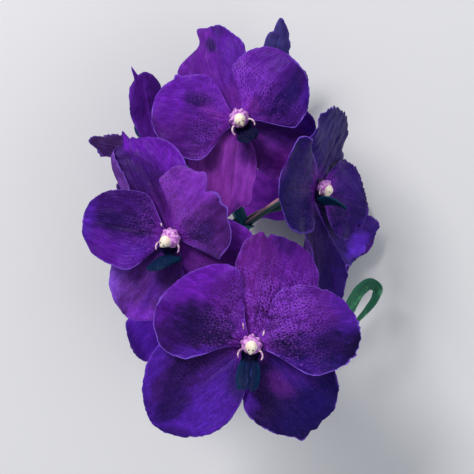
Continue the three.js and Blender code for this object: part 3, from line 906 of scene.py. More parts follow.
@dataclass
class Tepal:
    """One tepal: a thin blade that rises from the throat, widens and rounds off."""

    kind: Kind
    angle: float                    # its direction in the flower
    finish: TepalFinish
    length: float
    left: float                     # half widths
    right: float
    rise: float                     # its slope at the root, and how much that turns up to the tip
    bend: float
    cup: float                      # how far both margins turn up, or down below 0
    belly: float                    # where it is widest, as a share of the length
    shoulder: float                 # how late it widens
    ruffle: float                   # height of the waves of its margins
    phase: float
    back: float                     # how far its root lies behind the flower's middle
    back_finish: Optional[BackFinish] = None
    tip: float = 2.2                # how blunt it is
    crease: float = 0
    sway: float = 0                 # how far the tip leans to the left, as a share of the length
    twist: float = 0
    waves: float = 2.5
    root: float = 1.5
    claw: float = 0.12              # width of the root, as a share of the full width
    lobes: tuple[Triple, ...] = ()  # direction from the belly (0 tip, 90 left margin), height, width
    rolls: tuple[Roll, ...] = ()
    scallop: float = 0.35           # height of the uneven margin and of its teeth
    teeth: float = 0.2
    ripple: float = 0.4

    DEPTH = 0.9
    RIM_LAG = 1.3                   # how far the waves of both margins are apart, in radians
    MARGIN_REACH = 3.0              # how far from the margin lobes and teeth die away

    def half_width(self, t: float, side: float) -> float:
        """Half width at t along the length, on the left for a side above 0."""
        full = self.left if side > 0 else self.right
        if t < self.belly:
            rising = math.sin(math.pi / 2 * t / self.belly) ** self.shoulder
            return full * (self.claw + (1 - self.claw) * rising)
        past = (t - self.belly) / (1 - self.belly)
        return full * max(1 - past ** self.tip, 0) ** (1 / self.tip)

    def point(self, t: float, v: float, seed: float) -> Place:
        """A point of the middle surface in the flower's frame.

        Args:
            t: share of the length from the root.
            v: from -1 on the right margin to 1 on the left.
            seed: shifts the fine unevenness.

        Returns:
            The place, without its turn into the spray's frame.
        """
        half, band, rolled = self.half_width(t, v), 0.0, 0.0
        roll = next((r for r in self.rolls if r.band(t, v) > 0), None)
        if roll:
            band = roll.band(t, v)
            half += roll.grow * band
        edge = min((1 - abs(v)) * half, (1 - t) * self.length)
        wider, longer = self._growth(t, v * half, edge, seed)
        width = v * half + wider
        if roll:
            width, rolled = roll.curl(width, half - band)
        cup_radius = (self.left + self.right) / 2 / math.radians(self.cup)
        crease = math.radians(self.crease)
        side = cup_radius * math.sin(width / cup_radius) * math.cos(crease)
        lift = cup_radius * (1 - math.cos(width / cup_radius)) + math.sin(crease) * abs(width) + rolled
        lift += self._ruffles(t, v) + self._relief(t, v, width, seed)
        at = self._bowed(t, side, lift, longer)
        return Place(at, t * self.length, width, edge, v, t, 0.3 + 0.7 * smooth(edge, 0.0, 2.2))

    def _growth(self, t: float, width: float, edge: float, seed: float) -> tuple[float, float]:
        """How far the lobes, scallops and teeth push a point outward, across and along the blade."""
        direction = math.atan2(width, (t - self.belly) * self.length)
        degrees = math.degrees(direction)
        growth = sum(height * bell(degrees - at, wide) for at, height, wide in self.lobes)
        growth += self.scallop * uneven(degrees / 9, seed, 0.5) * smooth(t, 0.15, 0.4)
        growth += self.teeth * 2 * uneven(degrees / 3.1, seed + 3, 2.5) * smooth(t, 0.25, 0.5)
        growth *= math.exp(-edge / self.MARGIN_REACH)
        return growth * math.sin(direction), growth * math.cos(direction)

    def _ruffles(self, t: float, v: float) -> float:
        """Height of the long waves of the margins."""
        lag = math.copysign(self.RIM_LAG, v) if v else 0.0
        wave = math.sin(2 * math.pi * self.waves * t + self.phase + lag)
        return self.ruffle * wave * abs(v) ** 3 * math.sqrt(max(math.sin(math.pi * t ** 0.8), 0))

    def _relief(self, t: float, v: float, width: float, seed: float) -> float:
        """Height of the ripples, the groove of the midline and the fine waves of the margin."""
        along = t * self.length
        ripple = uneven(along / 7, width / 3.6, seed) + 0.5 * uneven(along / 3, width / 1.7, seed + 5)
        groove = bell(v, 0.06) * (1 - smooth(t, 0.5, 0.95)) * smooth(t, 0.05, 0.2)
        fine = uneven(along / 3.4, 2.0 if v > 0 else 6.0, seed) * abs(v) ** 6 * smooth(t, 0.2, 0.5)
        return self.ripple * ripple * smooth(t, 0.08, 0.3) - 0.45 * groove + 0.7 * fine

    def _bowed(self, t: float, side: float, lift: float, longer: float) -> Vector:
        """Bring a point of the straight blade onto its bowed, twisted and leaning midline.

        Args:
            t: share of the length from the root.
            side: distance from the midline.
            lift: height over the midline.
            longer: how much the lobes add along the blade.

        Returns:
            The point in the flower's frame.
        """
        start, turn = math.radians(self.rise), math.radians(self.bend)
        slope = start + turn * t
        twist = math.radians(self.twist) * clamp(3 * t)
        across = side * math.cos(twist) - lift * math.sin(twist) + self.sway * self.length * t * t
        upward = side * math.sin(twist) + lift * math.cos(twist)
        reach = self.length * (math.sin(slope) - math.sin(start)) / turn + longer + self.root
        reach -= upward * math.sin(slope)
        height = -self.length * (math.cos(slope) - math.cos(start)) / turn
        height += upward * math.cos(slope) - self.back
        angle = math.radians(self.angle)
        return Vector((math.cos(angle) * reach - math.sin(angle) * across,
                       math.sin(angle) * reach + math.cos(angle) * across, height))

    def mesh(self, place: Matrix, columns: int, rows: int, seed: float) -> bmesh.types.BMesh:
        """The blade as a sheet in the spray's frame.

        Args:
            place: the flower's frame.
            columns: faces across.
            rows: faces from root to tip.
            seed: shifts the fine unevenness.

        Returns:
            The sheet, in millimetres.
        """
        def shape(v: float, s: float) -> Place:
            """The place at v across the blade and s from its root to its tip."""
            spot = self.point(math.sin(math.pi / 2 * s), v, seed)
            spot.at = place @ spot.at
            spot.at.z = laid_height(spot.at.z)
            return spot

        return sheet(columns, rows, shape)


def tepal(kind: Kind, angle: float, finish: TepalFinish, **own: object) -> Tepal:
    """A tepal of the usual shape of its kind, with its own differences."""
    return Tepal(kind, angle, finish, **{**USUAL[kind], **own})


# --- Flowers ---

class Finishes:
    """Every finish that more than one piece wears."""

    def __init__(self) -> None:
        """Mix all shared finishes."""
        self.effects = Effects()
        self.back = BackFinish().material("tepal_back", self.effects)
        self.hub = WaxFinish(dye(58, 30, 92), dye(92, 60, 120), rough=0.45).material("hub_wax")
        # the collar's paler pink patches: partly its own mottling, partly painted highlights
        self.collar = WaxFinish(dye(180, 92, 196), dye(238, 178, 238), spots=7, rough=0.6,
                                grain=0.4).material("collar_mauve")
        self.cap = WaxFinish(dye(255, 246, 226), dye(250, 226, 208), spots=4,
                             rough=0.5).material("cap_cream")
        self.dot = WaxFinish(dye(70, 34, 50), dye(44, 18, 36), spots=6, rough=0.4).material("cap_dot")
        # a near-black bowl that stands for the shade under the column
        self.hollow = WaxFinish(dye(12, 8, 44), dye(20, 18, 66), rough=0.6,
                                shine=0.05).material("hollow_shade_dark")
        self.wing = WaxFinish(dye(236, 206, 218), dye(176, 122, 176), rough=0.4).material("wing_pale")
        self.stem = GreenFinish(dye(28, 128, 136), dye(16, 88, 104), dye(40, 84, 120),
                                flush_low=0.58).material("stem_green", self.effects)
        # the stalk's pink flank: partly its own flush, partly painted highlight of its lit top side
        self.stalk = GreenFinish(dye(30, 92, 88), dye(16, 62, 66), dye(190, 128, 142), flush_low=0.62,
                                 flank=0.85, end=dye(92, 44, 150)).material("stalk_flushed", self.effects)
        self.leaf = GreenFinish(dye(54, 132, 96), dye(30, 98, 76), dye(84, 164, 114),
                                fibres=30).material("leaf_green", self.effects)


@dataclass
class Column:
    """The column: a lobed mauve collar, a cream cap with two dots, and two pale wings."""

    base: float = 1.2
    collar: tuple[tuple[float, float], ...] = (         # radius and height of its profile
        (3.4, 0), (4.0, 1.0), (4.5, 2.2), (4.4, 3.4), (3.8, 4.6), (2.8, 5.6), (1.4, 6.1))
    lobes: tuple[Triple, ...] = (                       # degrees from the right side, rise, width
        (90, 1.7, 12), (50, 0.9, 13), (128, 0.9, 13), (8, 0.8, 16), (172, 0.8, 16))
    cap_radius: float = 2.75
    cap_at: Triple = (0, 0.1, 6.3)
    wing: tuple[Triple, ...] = (
        (3.0, -1.0, 4.2), (4.5, -1.6, 5.0), (5.4, -2.9, 5.5), (5.5, -4.3, 5.8), (5.0, -5.4, 5.9))
    wing_radius: float = 0.46
    turn: float = 0                 # degrees from the lip's direction
    scale: float = 1

    def _collar(self) -> bmesh.types.BMesh:
        """The collar, spun from its profile, drawn out into lobes and puckered."""
        bm = spun([(radius, self.base + height) for radius, height in self.collar], 64)
        bmesh.ops.subdivide_edges(bm, edges=bm.edges, cuts=1, use_grid_fill=True)
        for vert in bm.verts:
            angle = math.degrees(math.atan2(vert.co.y, vert.co.x))
            high = clamp((vert.co.z - self.base) / 6)
            lobe = sum(rise * bell(angle - at, width) for at, rise, width in self.lobes)
            pucker = noise.noise(vert.co * 0.9) + 0.25 * noise.noise(vert.co * 2.4)
            radius = math.hypot(vert.co.x, vert.co.y)
            swell = 1 + (0.24 * lobe * (0.4 + 0.6 * high) + 0.1 * pucker) * smooth(radius, 0.5, 2.5)
            vert.co.x *= swell
            vert.co.y = vert.co.y * swell * 0.92 + 0.3 + 1.0 * high
            vert.co.z += 0.45 * lobe * high * smooth(radius, 1.5, 4)
        return bm

    def _cap(self) -> bmesh.types.BMesh:
        """The cap: a small rounded head, narrower towards the lip, with two pits and a short beak."""
        bm = bmesh.new()
        bmesh.ops.create_icosphere(bm, subdivisions=4, radius=self.cap_radius)
        for vert in bm.verts:
            x, y, z = vert.co / self.cap_radius
            narrow = 1 - 0.3 * smooth(-y, 0.15, 1.0)
            beak = 0.16 * bell(x, 0.3) * smooth(-y, 0.6, 1.0)
            groove = 0.07 * bell(x, 0.1) * smooth(-y, -0.2, 0.5)
            pits = 0.12 * bell(abs(x) - 0.36, 0.16) * bell(y + 0.43, 0.14)
            dent = 0.06 * uneven(x * 2.2, y * 2.2, z * 2.2)
            shaped = (x * narrow * (1 + dent), y * 1.15 - beak, z * 0.9 * (1 - groove - pits + dent))
            vert.co = Vector(shaped) * self.cap_radius
        bmesh.ops.translate(bm, verts=bm.verts, vec=self.cap_at)
        return bm

    def _dots(self) -> bmesh.types.BMesh:
        """The two dark dots in the cap's pits."""
        bm = bmesh.new()
        for side in (-1, 1):
            at = Vector(self.cap_at) + Vector((0.32 * side, -0.5, 0.68)) * self.cap_radius
            ball = bmesh.ops.create_icosphere(bm, subdivisions=2, radius=0.16 * self.cap_radius)["verts"]
            bmesh.ops.scale(bm, verts=ball, vec=(1.3, 0.75, 0.5))
            bmesh.ops.translate(bm, verts=ball, vec=at)
        return bm

    def _wings(self) -> bmesh.types.BMesh:
        """The two curled wings, the left one mirrored from the right one."""
        curve = Spline(self.wing)
        shares = [k / 14 for k in range(15)]
        bm = sweep([(curve.at(u), self.wing_radius * (1 - 0.45 * u ** 2 + 0.15 * math.sin(math.pi * u)))
                    for u in shares], 10)
        bmesh.ops.mirror(bm, geom=[*bm.verts, *bm.edges, *bm.faces], axis="X", merge_dist=-1)
        bmesh.ops.recalc_face_normals(bm, faces=bm.faces)
        return bm

    def build(self, name: str, head: Matrix, finishes: Finishes) -> None:
        """Build the column's pieces.

        Args:
            name: the flower's name.
            head: the frame of the column and lip.
            finishes: the shared finishes.
        """
        column = Part(f"{name}_column", Slot.COLUMN)
        head = head @ Matrix.Scale(self.scale, 4)
        turned = head @ Matrix.Rotation(math.radians(self.turn), 4, "Z")
        column.add(self._collar(), f"{name}_collar", finishes.collar, place=turned)
        column.add(self._cap(), f"{name}_cap", finishes.cap, place=turned)
        column.add(self._dots(), f"{name}_cap_dots", finishes.dot, place=turned, rounds=1)
        column.add(self._wings(), f"{name}_wings", finishes.wing, place=head, rounds=1)


@dataclass
class Lip:
    """The lip: a strap with three ridges and a notched end, over a dark hollow below the column, its
    near-black painted shade.
    """

    lift: float
    root: float
    turn: float = 0                 # degrees from the direction of the column's beak
    height: float = 2.65
    length: float = 15.5
    claw: float = 4.0
    blade: float = 5.3
    taper: float = 0.12             # how much narrower its end is
    pointed: float = 0              # how much its sides fall short, from 0 for a strap to 1 for a lens
    thickness: float = 1.3
    ridge: float = 0.6
    notch: float = 1.4
    rounded: float = 0.15           # how far the corners of its end are rounded off
    finish: LipFinish = LipFinish()
    hollow: tuple[tuple[float, float], ...] = (         # radius and height of its profile
        (0.05, -0.7), (1.6, -0.6), (2.9, -0.1), (3.7, 0.7), (4.0, 1.3), (4.2, 1.5), (4.4, 1.3),
        (4.2, 0.2), (3.2, -1.2), (1.6, -1.8), (0.05, -1.9))

    def shape(self, v: float, u: float) -> Place:
        """The place at v across and u along, in the lip's frame."""
        spread = self.claw + (self.blade - self.claw) * math.sin(math.pi / 2 * clamp(u / 0.5)) ** 1.5
        x = v * spread * (1 - self.taper * clamp((u - 0.7) / 0.3)) - 1.6 * self.pointed
        x *= 1 - self.rounded * (1 - math.sqrt(1 - clamp((u - 0.62) / 0.38) ** 2))
        notch = self.notch * bell(v, 0.3) + 0.5 * math.sin(9 * v) * (1 - self.pointed)
        s = self.length * u * (1 - self.pointed * 0.85 * v * v) - notch * clamp((u - 0.6) / 0.4)
        slope = math.radians(self.lift) * (1 - 0.25 * u)
        crest = max(bell(v, 0.13), 0.8 * bell(abs(v) - 0.5, 0.13))
        ridge = self.ridge * crest * math.sin(math.pi * clamp(0.15 + 0.8 * u))
        start = self.root + self.pointed * 3.0 * v * v
        droop = 0.055 * x * x * u * (1 - self.pointed)
        at = Vector((x, -start - s * math.cos(slope), self.height + s * math.sin(slope) - droop))
        at += ridge * Vector((0, math.sin(slope), math.cos(slope)))
        edge = min((1 - abs(v)) * spread, (1 - u) * self.length)
        return Place(at, s, x, edge, v, u, 0.5 + 0.5 * smooth(edge, 0, 1.5))

    def _hollow(self) -> bmesh.types.BMesh:
        """The dark hollow between the column and the lip: a shallow bowl with a rolled rim, near-black as
        painted shade.
        """
        bm = spun(self.hollow, 36)
        bmesh.ops.scale(bm, verts=bm.verts, vec=(0.95, 0.8, 1.0))
        bmesh.ops.translate(bm, verts=bm.verts, vec=(0, -3.9, 2.3))
        return bm

    def build(self, name: str, head: Matrix, finishes: Finishes) -> None:
        """Build the lip's pieces.

        Args:
            name: the flower's name.
            head: the frame of the column and lip.
            finishes: the shared finishes.
        """
        lip = Part(f"{name}_lip", Slot.LIP)
        pivot = Matrix.Translation((0, -self.root - 2.5, 0))
        turned = head @ pivot @ Matrix.Rotation(math.radians(self.turn), 4, "Z") @ pivot.inverted()
        face = self.finish.material(f"{name}_lip_face", finishes.effects)
        lip.add(sheet(28, 28, self.shape), f"{name}_lip_blade", face, place=turned, depth=self.thickness)
        # the near-black bowl: painted shade under the column
        lip.add(self._hollow(), f"{name}_lip_hollow", finishes.hollow, place=head)


@dataclass(frozen=True)
class Stalk:
    """The way that a flower's stalk takes."""

    start: Triple                   # where it leaves the stem
    towards: Triple                 # a point that it sets out to
    straight: float                 # length of its straight end behind the hub


@dataclass
class Flower:
    """One flower: five tepals on a hub, a column and a lip."""

    name: str
    at: Triple
    yaw: float
    pitch: float
    lip_angle: float                # direction in which the lip hangs
    lip: Lip
    stalk: Stalk
    tepals: list[Tepal]
    fine: bool = False              # whether its tepals have the fine grid
    column: Column = field(default_factory=Column)
    # short white strokes that stand for glints on the claws' lit margins
    claw_glints: tuple[tuple[int, float, float, float, float], ...] = ()   # tepal, then t and v of both ends

    HUB = dict(radius1=2.3, radius2=5.5, depth=8.0)
    GLINT_RADIUS = 0.42

    def frame(self) -> Matrix:
        """The flower's frame: its face looks along Z."""
        yaw = Matrix.Rotation(math.radians(self.yaw), 4, "Y")
        return Matrix.Translation(self.at) @ yaw @ Matrix.Rotation(math.radians(-self.pitch), 4, "X")

    def head(self) -> Matrix:
        """The frame of the column and lip, in which the lip hangs along -Y."""
        return self.frame() @ Matrix.Rotation(math.radians(self.lip_angle + 90), 4, "Z")

    def _hub(self) -> bmesh.types.BMesh:
        """The hub: a cup that carries the tepals, with a socket for the column."""
        bm = bmesh.new()
        rings = bmesh.ops.create_cone(bm, cap_ends=True, segments=28, **self.HUB)
        bmesh.ops.translate(bm, verts=rings["verts"], vec=(0, 0, -2.0))
        top = max(bm.faces, key=lambda f: f.calc_center_median().z)
        bmesh.ops.inset_individual(bm, faces=[top], thickness=0.9, depth=0.0)
        bmesh.ops.translate(bm, verts=top.verts, vec=(0, 0, -1.1))
        rims = [e for e in bm.edges if all(v.co.z > 1.9 for v in e.verts)]
        bmesh.ops.bevel(bm, geom=rims, offset=0.3, offset_type="OFFSET", segments=2, profile=0.5,
                        affect="EDGES", material=-1)
        return bm

    def _claw_glint(self, blade: Tepal, seed: float, t0: float, v0: float, t1: float,
              v1: float) -> bmesh.types.BMesh:
        """A short white glint over a tepal's lit claw near the throat, from t0, v0 to t1, v1 on its
        blade.
        """
        a, b = (blade.point(t, v, seed).at + Vector((0, 0, 0.6)) for t, v in ((t0, v0), (t1, v1)))
        shares = [k / 6 for k in range(7)]
        return sweep([(a.lerp(b, u) + Vector((0, 0, 0.25 * math.sin(math.pi * u))),
                       self.GLINT_RADIUS * (0.35 + 0.65 * math.sin(math.pi * (0.15 + 0.7 * u))))
                      for u in shares], 8)

    def build(self, finishes: Finishes, number: int) -> None:
        """Build all pieces of the flower.

        Args:
            finishes: the shared finishes.
            number: the flower's place in the spray, which shifts its patterns.
        """
        place = self.frame()
        seeds = [number * 10 + index * 1.7 for index in range(len(self.tepals))]
        columns, rows = (64, 56) if self.fine else (36, 34)
        cup = Part(f"{self.name}_tepals", Slot.TEPAL)
        for index, (blade, seed) in enumerate(zip(self.tepals, seeds)):
            label = f"{self.name}_{blade.kind.value}_{index + 1}"
            face = blade.finish.material(f"{label}_face", finishes.effects, seed)
            back = finishes.back
            if blade.back_finish is not None:
                back = blade.back_finish.material(f"{label}_back", finishes.effects)
            cup.add(blade.mesh(place, columns, rows, seed), label, face, back, depth=blade.DEPTH)
        # white strokes standing for glints on the claws' lit margins
        for index, (row, *ends) in enumerate(self.claw_glints):
            glint = self._claw_glint(self.tepals[row], seeds[row], *ends)
            cup.add(glint, f"{self.name}_throat_hair_{index + 1}", finishes.wing, place=place)
        cup.add(self._hub(), f"{self.name}_hub", finishes.hub, place=place)
        self.column.build(self.name, self.head(), finishes)
        self.lip.build(self.name, self.head(), finishes)


# Tones of the tepals, as they look in the studio's light, for their colour and for painted light and
# shade
INK = seen(32, 22, 76)
INDIGO = seen(44, 26, 90)
NAVY = seen(34, 26, 94)
DEEP = seen(54, 24, 98)
DUSK = seen(60, 32, 106)
VIOLET = seen(78, 30, 136)
PURPLE = seen(92, 34, 152)
VIVID = seen(102, 35, 168)
PLUM = seen(86, 32, 116)
ROSE = seen(110, 46, 140)
LILAC = seen(118, 58, 172)
BLUE = seen(62, 34, 134)
COBALT = seen(78, 42, 158)
SLATE = seen(44, 33, 84)
STEEL = seen(60, 50, 106)
TEAL_SHADE = seen(24, 32, 74)
PALE = seen(98, 70, 150)


def flowers() -> list[Flower]:
    """The eight flowers of the spray, the four open ones first."""
    return [front_flower(), left_flower(), top_flower(), right_flower(),
            back_left_flower(), back_top_flower(), back_right_flower(), back_low_flower()]


def front_flower() -> Flower:
    """The open flower nearest the cut end, facing straight up."""
    tepals = [
        tepal(Kind.DORSAL, 77, face(
            seen(95, 35, 125), seen(85, 30, 130), Spot(0.66, 0.0, 0.3, 0.2, PLUM, 0.9),
            Spot(0.95, -0.45, 0.1, 0.35, DEEP), Spot(0.35, -0.1, 0.2, 0.3, PLUM, 0.8),
            Spot(0.27, -0.25, 0.12, 0.45, seen(58, 18, 84), 0.9),
            net=0.8, net_reach=0.8, glitter=1.0, throat=0.9, throat_reach=16, rays=0.25),
            length=50, left=14, right=24.5, belly=0.65, shoulder=1.1, tip=2.3, sway=0.05, cup=-6,
            rise=8, bend=-14, lobes=((6, -2.2, 4), (14, 0.8, 6))),
        tepal(Kind.PETAL, 145, face(
            DEEP, seen(98, 34, 158), Spot(0.38, -0.5, 0.24, 0.5, seen(64, 24, 90), 0.8),
            Spot(0.24, 0.0, 0.16, 0.3, INK, 0.85),
            Spot(0.35, 0.25, 0.32, 0.42, seen(26, 18, 62), 0.95),
            Spot(0.62, 0.05, 0.2, 0.24, seen(28, 18, 66), 0.9), Spot(0.95, 0, 0.1, 1.1, PURPLE, 0.6),
            Spot(0.38, 0.88, 0.2, 0.2, COBALT, 0.7),
            net=0.6, net_left=0.25, net_reach=0.6, glitter=0.6, strokes=0.45, rim_left=0.75),
            length=45, left=22, right=27, belly=0.57, shoulder=1.9, tip=1.9, sway=0.11, crease=-9,
            cup=6, rise=20, lobes=((105, 1.5, 5), (95, -0.6, 3)),
            rolls=(Roll(side=1, start=0.25, end=0.8, width=1.8, turn=80),)),
        tepal(Kind.PETAL, 20, face(
            seen(80, 34, 125), NAVY, Spot(0.2, 0.5, 0.14, 0.6, seen(56, 24, 92), 0.8),
            Spot(0.75, -0.4, 0.3, 0.26, seen(32, 20, 76), 0.95),
            Spot(0.22, -0.3, 0.2, 0.32, seen(24, 18, 62), 0.95),
            Spot(0.36, -0.88, 0.15, 0.22, BLUE, 0.8), Spot(0.93, -0.85, 0.16, 0.35, NIGHT, 0.9),
            Spot(0.93, 0.3, 0.1, 0.7, COBALT, 0.6),
            net=0.9, net_right=0.2, rays=0.35, net_reach=0.8, crease=0.7, glitter=0.6, rim_right=0.75),
            length=48, left=21.5, right=21, belly=0.47, shoulder=2, tip=2.25, sway=-0.13, crease=-10,
            cup=6, rise=20, teeth=0.5, rolls=(Roll(side=-1, start=0.2, end=0.85, width=1.8, turn=80),)),
        tepal(Kind.LATERAL, -143, face(
            COBALT, DUSK, Spot(0.52, -0.4, 0.22, 0.22, seen(32, 18, 72), 0.95),
            Spot(0.72, -0.88, 0.25, 0.22, COBALT, 0.9), Spot(0.95, 0, 0.1, 0.9, BLUE, 0.7),
            Spot(0.78, 0.0, 0.16, 0.3, seen(34, 22, 78), 0.9),
            Spot(0.18, 0.8, 0.15, 0.6, TEAL_SHADE, 0.9), Spot(0.93, 0.9, 0.12, 0.3, INDIGO, 0.7),
            net=0.1, crease=0.1, rays=0.2),
            length=56, left=21.5, right=26, belly=0.55, tip=1.7, sway=0.02),
        tepal(Kind.LATERAL, -54, face(
            NAVY, INK, Spot(0.82, 0.1, 0.2, 1.0, seen(22, 16, 86), 0.7),
            Spot(0.42, 0.02, 0.13, 0.25, seen(90, 45, 130), 0.9),
            Spot(0.38, 0.45, 0.18, 0.3, BLUE, 0.9), Spot(0.35, -0.88, 0.14, 0.2, COBALT, 0.9),
            Spot(0.12, -0.8, 0.1, 0.6, TEAL_SHADE),
            net=0.1, crease=0.1, rays=0.2, rim_left=0.5, rim_right=0.5, strokes=0.12),
            length=48, left=24, right=20.5, belly=0.49, shoulder=1.3, tip=1.9, sway=0.06, back=4.6,
            rise=4, lobes=((-21, 2.4, 7), (-9, -0.8, 4), (8, -1.6, 11))),
    ]
    return Flower(
        "front", at=(6.3, -56.5, 94), yaw=0, pitch=0, lip_angle=-96,
        lip=Lip(lift=46, root=6, ridge=0.4, notch=0.8), stalk=Stalk((7, -40, 25), (7, -47, 45), 22),
        fine=True, tepals=tepals,
        claw_glints=((1, 0.125, -0.7, 0.17, -0.8), (2, 0.11, 0.55, 0.14, 0.8)))


def left_flower() -> Flower:
    """The open flower at the left, turned a little to the left."""
    tepals = [
        tepal(Kind.DORSAL, 106, face(
            DEEP, PURPLE, Spot(0.5, -0.1, 0.28, 0.3, DEEP, 0.9),
            Spot(0.72, -0.75, 0.3, 0.3, VIVID, 0.6), Spot(0.96, -0.1, 0.08, 0.6, VIVID, 0.8),
            Spot(0.3, -0.3, 0.18, 0.5, PLUM, 0.5),
            net=0.2, net_reach=0.5, strokes=0.35, halo=0.2),
            back_finish=FOLD_BACK, length=48.5, left=13.5, right=20, belly=0.61, shoulder=1.1,
            tip=2.5, sway=0.15, rise=8, lobes=((6, 5.5, 3.6), (-4, 1.6, 3)),
            rolls=(Roll(side=1, start=0.3, end=0.985, width=6.4, turn=168, radius=0.8, grow=1.0),)),
        tepal(Kind.PETAL, 165, face(
            VIOLET, DEEP, Spot(0.5, -0.1, 0.35, 0.3, INK, 0.85),
            Spot(0.95, 0.1, 0.1, 0.9, COBALT, 0.8), Spot(0.27, 0.7, 0.2, 0.35, COBALT, 0.8),
            Spot(0.5, 0.8, 0.3, 0.3, PURPLE, 0.7),
            net=0.35, glitter=0.35, net_reach=0.55, crease=0.5, rim_left=0.6, rays=0.4),
            length=42.5, left=18.5, right=18.5, belly=0.4, shoulder=1.6, sway=0.03,
            rolls=(Roll(side=1, start=0.2, end=0.7, width=1.4, turn=80),)),
        tepal(Kind.PETAL, 36, face(
            seen(112, 64, 150), seen(76, 42, 108), Spot(0.45, -0.36, 0.24, 0.2, SLATE, 0.95),
            Spot(0.75, 0.5, 0.25, 0.4, LILAC, 0.6), Spot(0.14, 0.3, 0.1, 0.5, PLUM, 0.6),
            Spot(0.2, -0.85, 0.2, 0.3, PALE, 0.8), Spot(0.93, 0.6, 0.12, 0.6, LILAC, 0.8),
            net=0.5, net_right=0.4, glitter=0.4, crease=0.5, rim_right=0.8, halo=0.15),
            length=31, left=26, right=22, belly=0.4, shoulder=2.1, tip=2.8, sway=0.1, crease=-14,
            rise=34, bend=-30, lobes=((12, -2, 5), (27, 3.5, 9), (-4, 2.5, 10), (-23, 2.4, 7)),
            rolls=(Roll(side=-1, start=0.3, end=0.95, width=1.8, turn=80),)),
        tepal(Kind.LATERAL, -124, face(
            seen(90, 54, 130), seen(98, 64, 145), Spot(0.9, 0.6, 0.14, 0.6, seen(140, 76, 214), 0.8),
            Spot(0.25, 0.2, 0.16, 0.7, DUSK, 0.7),
            Spot(0.65, -0.95, 0.35, 0.3, seen(140, 110, 215), 0.9),
            Spot(0.6, 0.3, 0.2, 0.2, COBALT, 0.5),
            net=0.1, crease=0.1, rays=0.2, halo=0.1),
            length=43.5, left=18, right=18.5, shoulder=0.7, tip=1.6, scallop=0.2, teeth=0.08),
        tepal(Kind.LATERAL, -14, face(
            seen(140, 66, 200), seen(116, 56, 164), Spot(0.6, -0.05, 0.3, 0.25, PLUM, 0.7),
            Spot(0.32, -0.35, 0.16, 0.4, PLUM, 0.7),
            net=0.1, crease=0.1, rays=0.3, halo=0.2),
            length=41, left=15, right=24, belly=0.52, shoulder=0.8, tip=1.8, back=4.6, rise=2),
    ]
    return Flower(
        "left", at=(-30.1, -8.2, 77), yaw=-15, pitch=-4, lip_angle=-98,
        stalk=Stalk((2, 1, 38.5), (-6, -2, 42), 14), fine=True,
        column=Column(turn=-34, cap_at=(-0.4, -1.4, 6.3)), claw_glints=((1, 0.1, -0.84, 0.115, -0.95),),
        tepals=tepals,
        lip=Lip(lift=86, root=7.6, turn=24, length=12.5, blade=8.8, claw=7.8, taper=0, pointed=1.0,
                notch=0, ridge=0.1,
                finish=LipFinish(ground=dye(10, 30, 64), streak=dye(22, 60, 92), side=dye(10, 44, 74))))


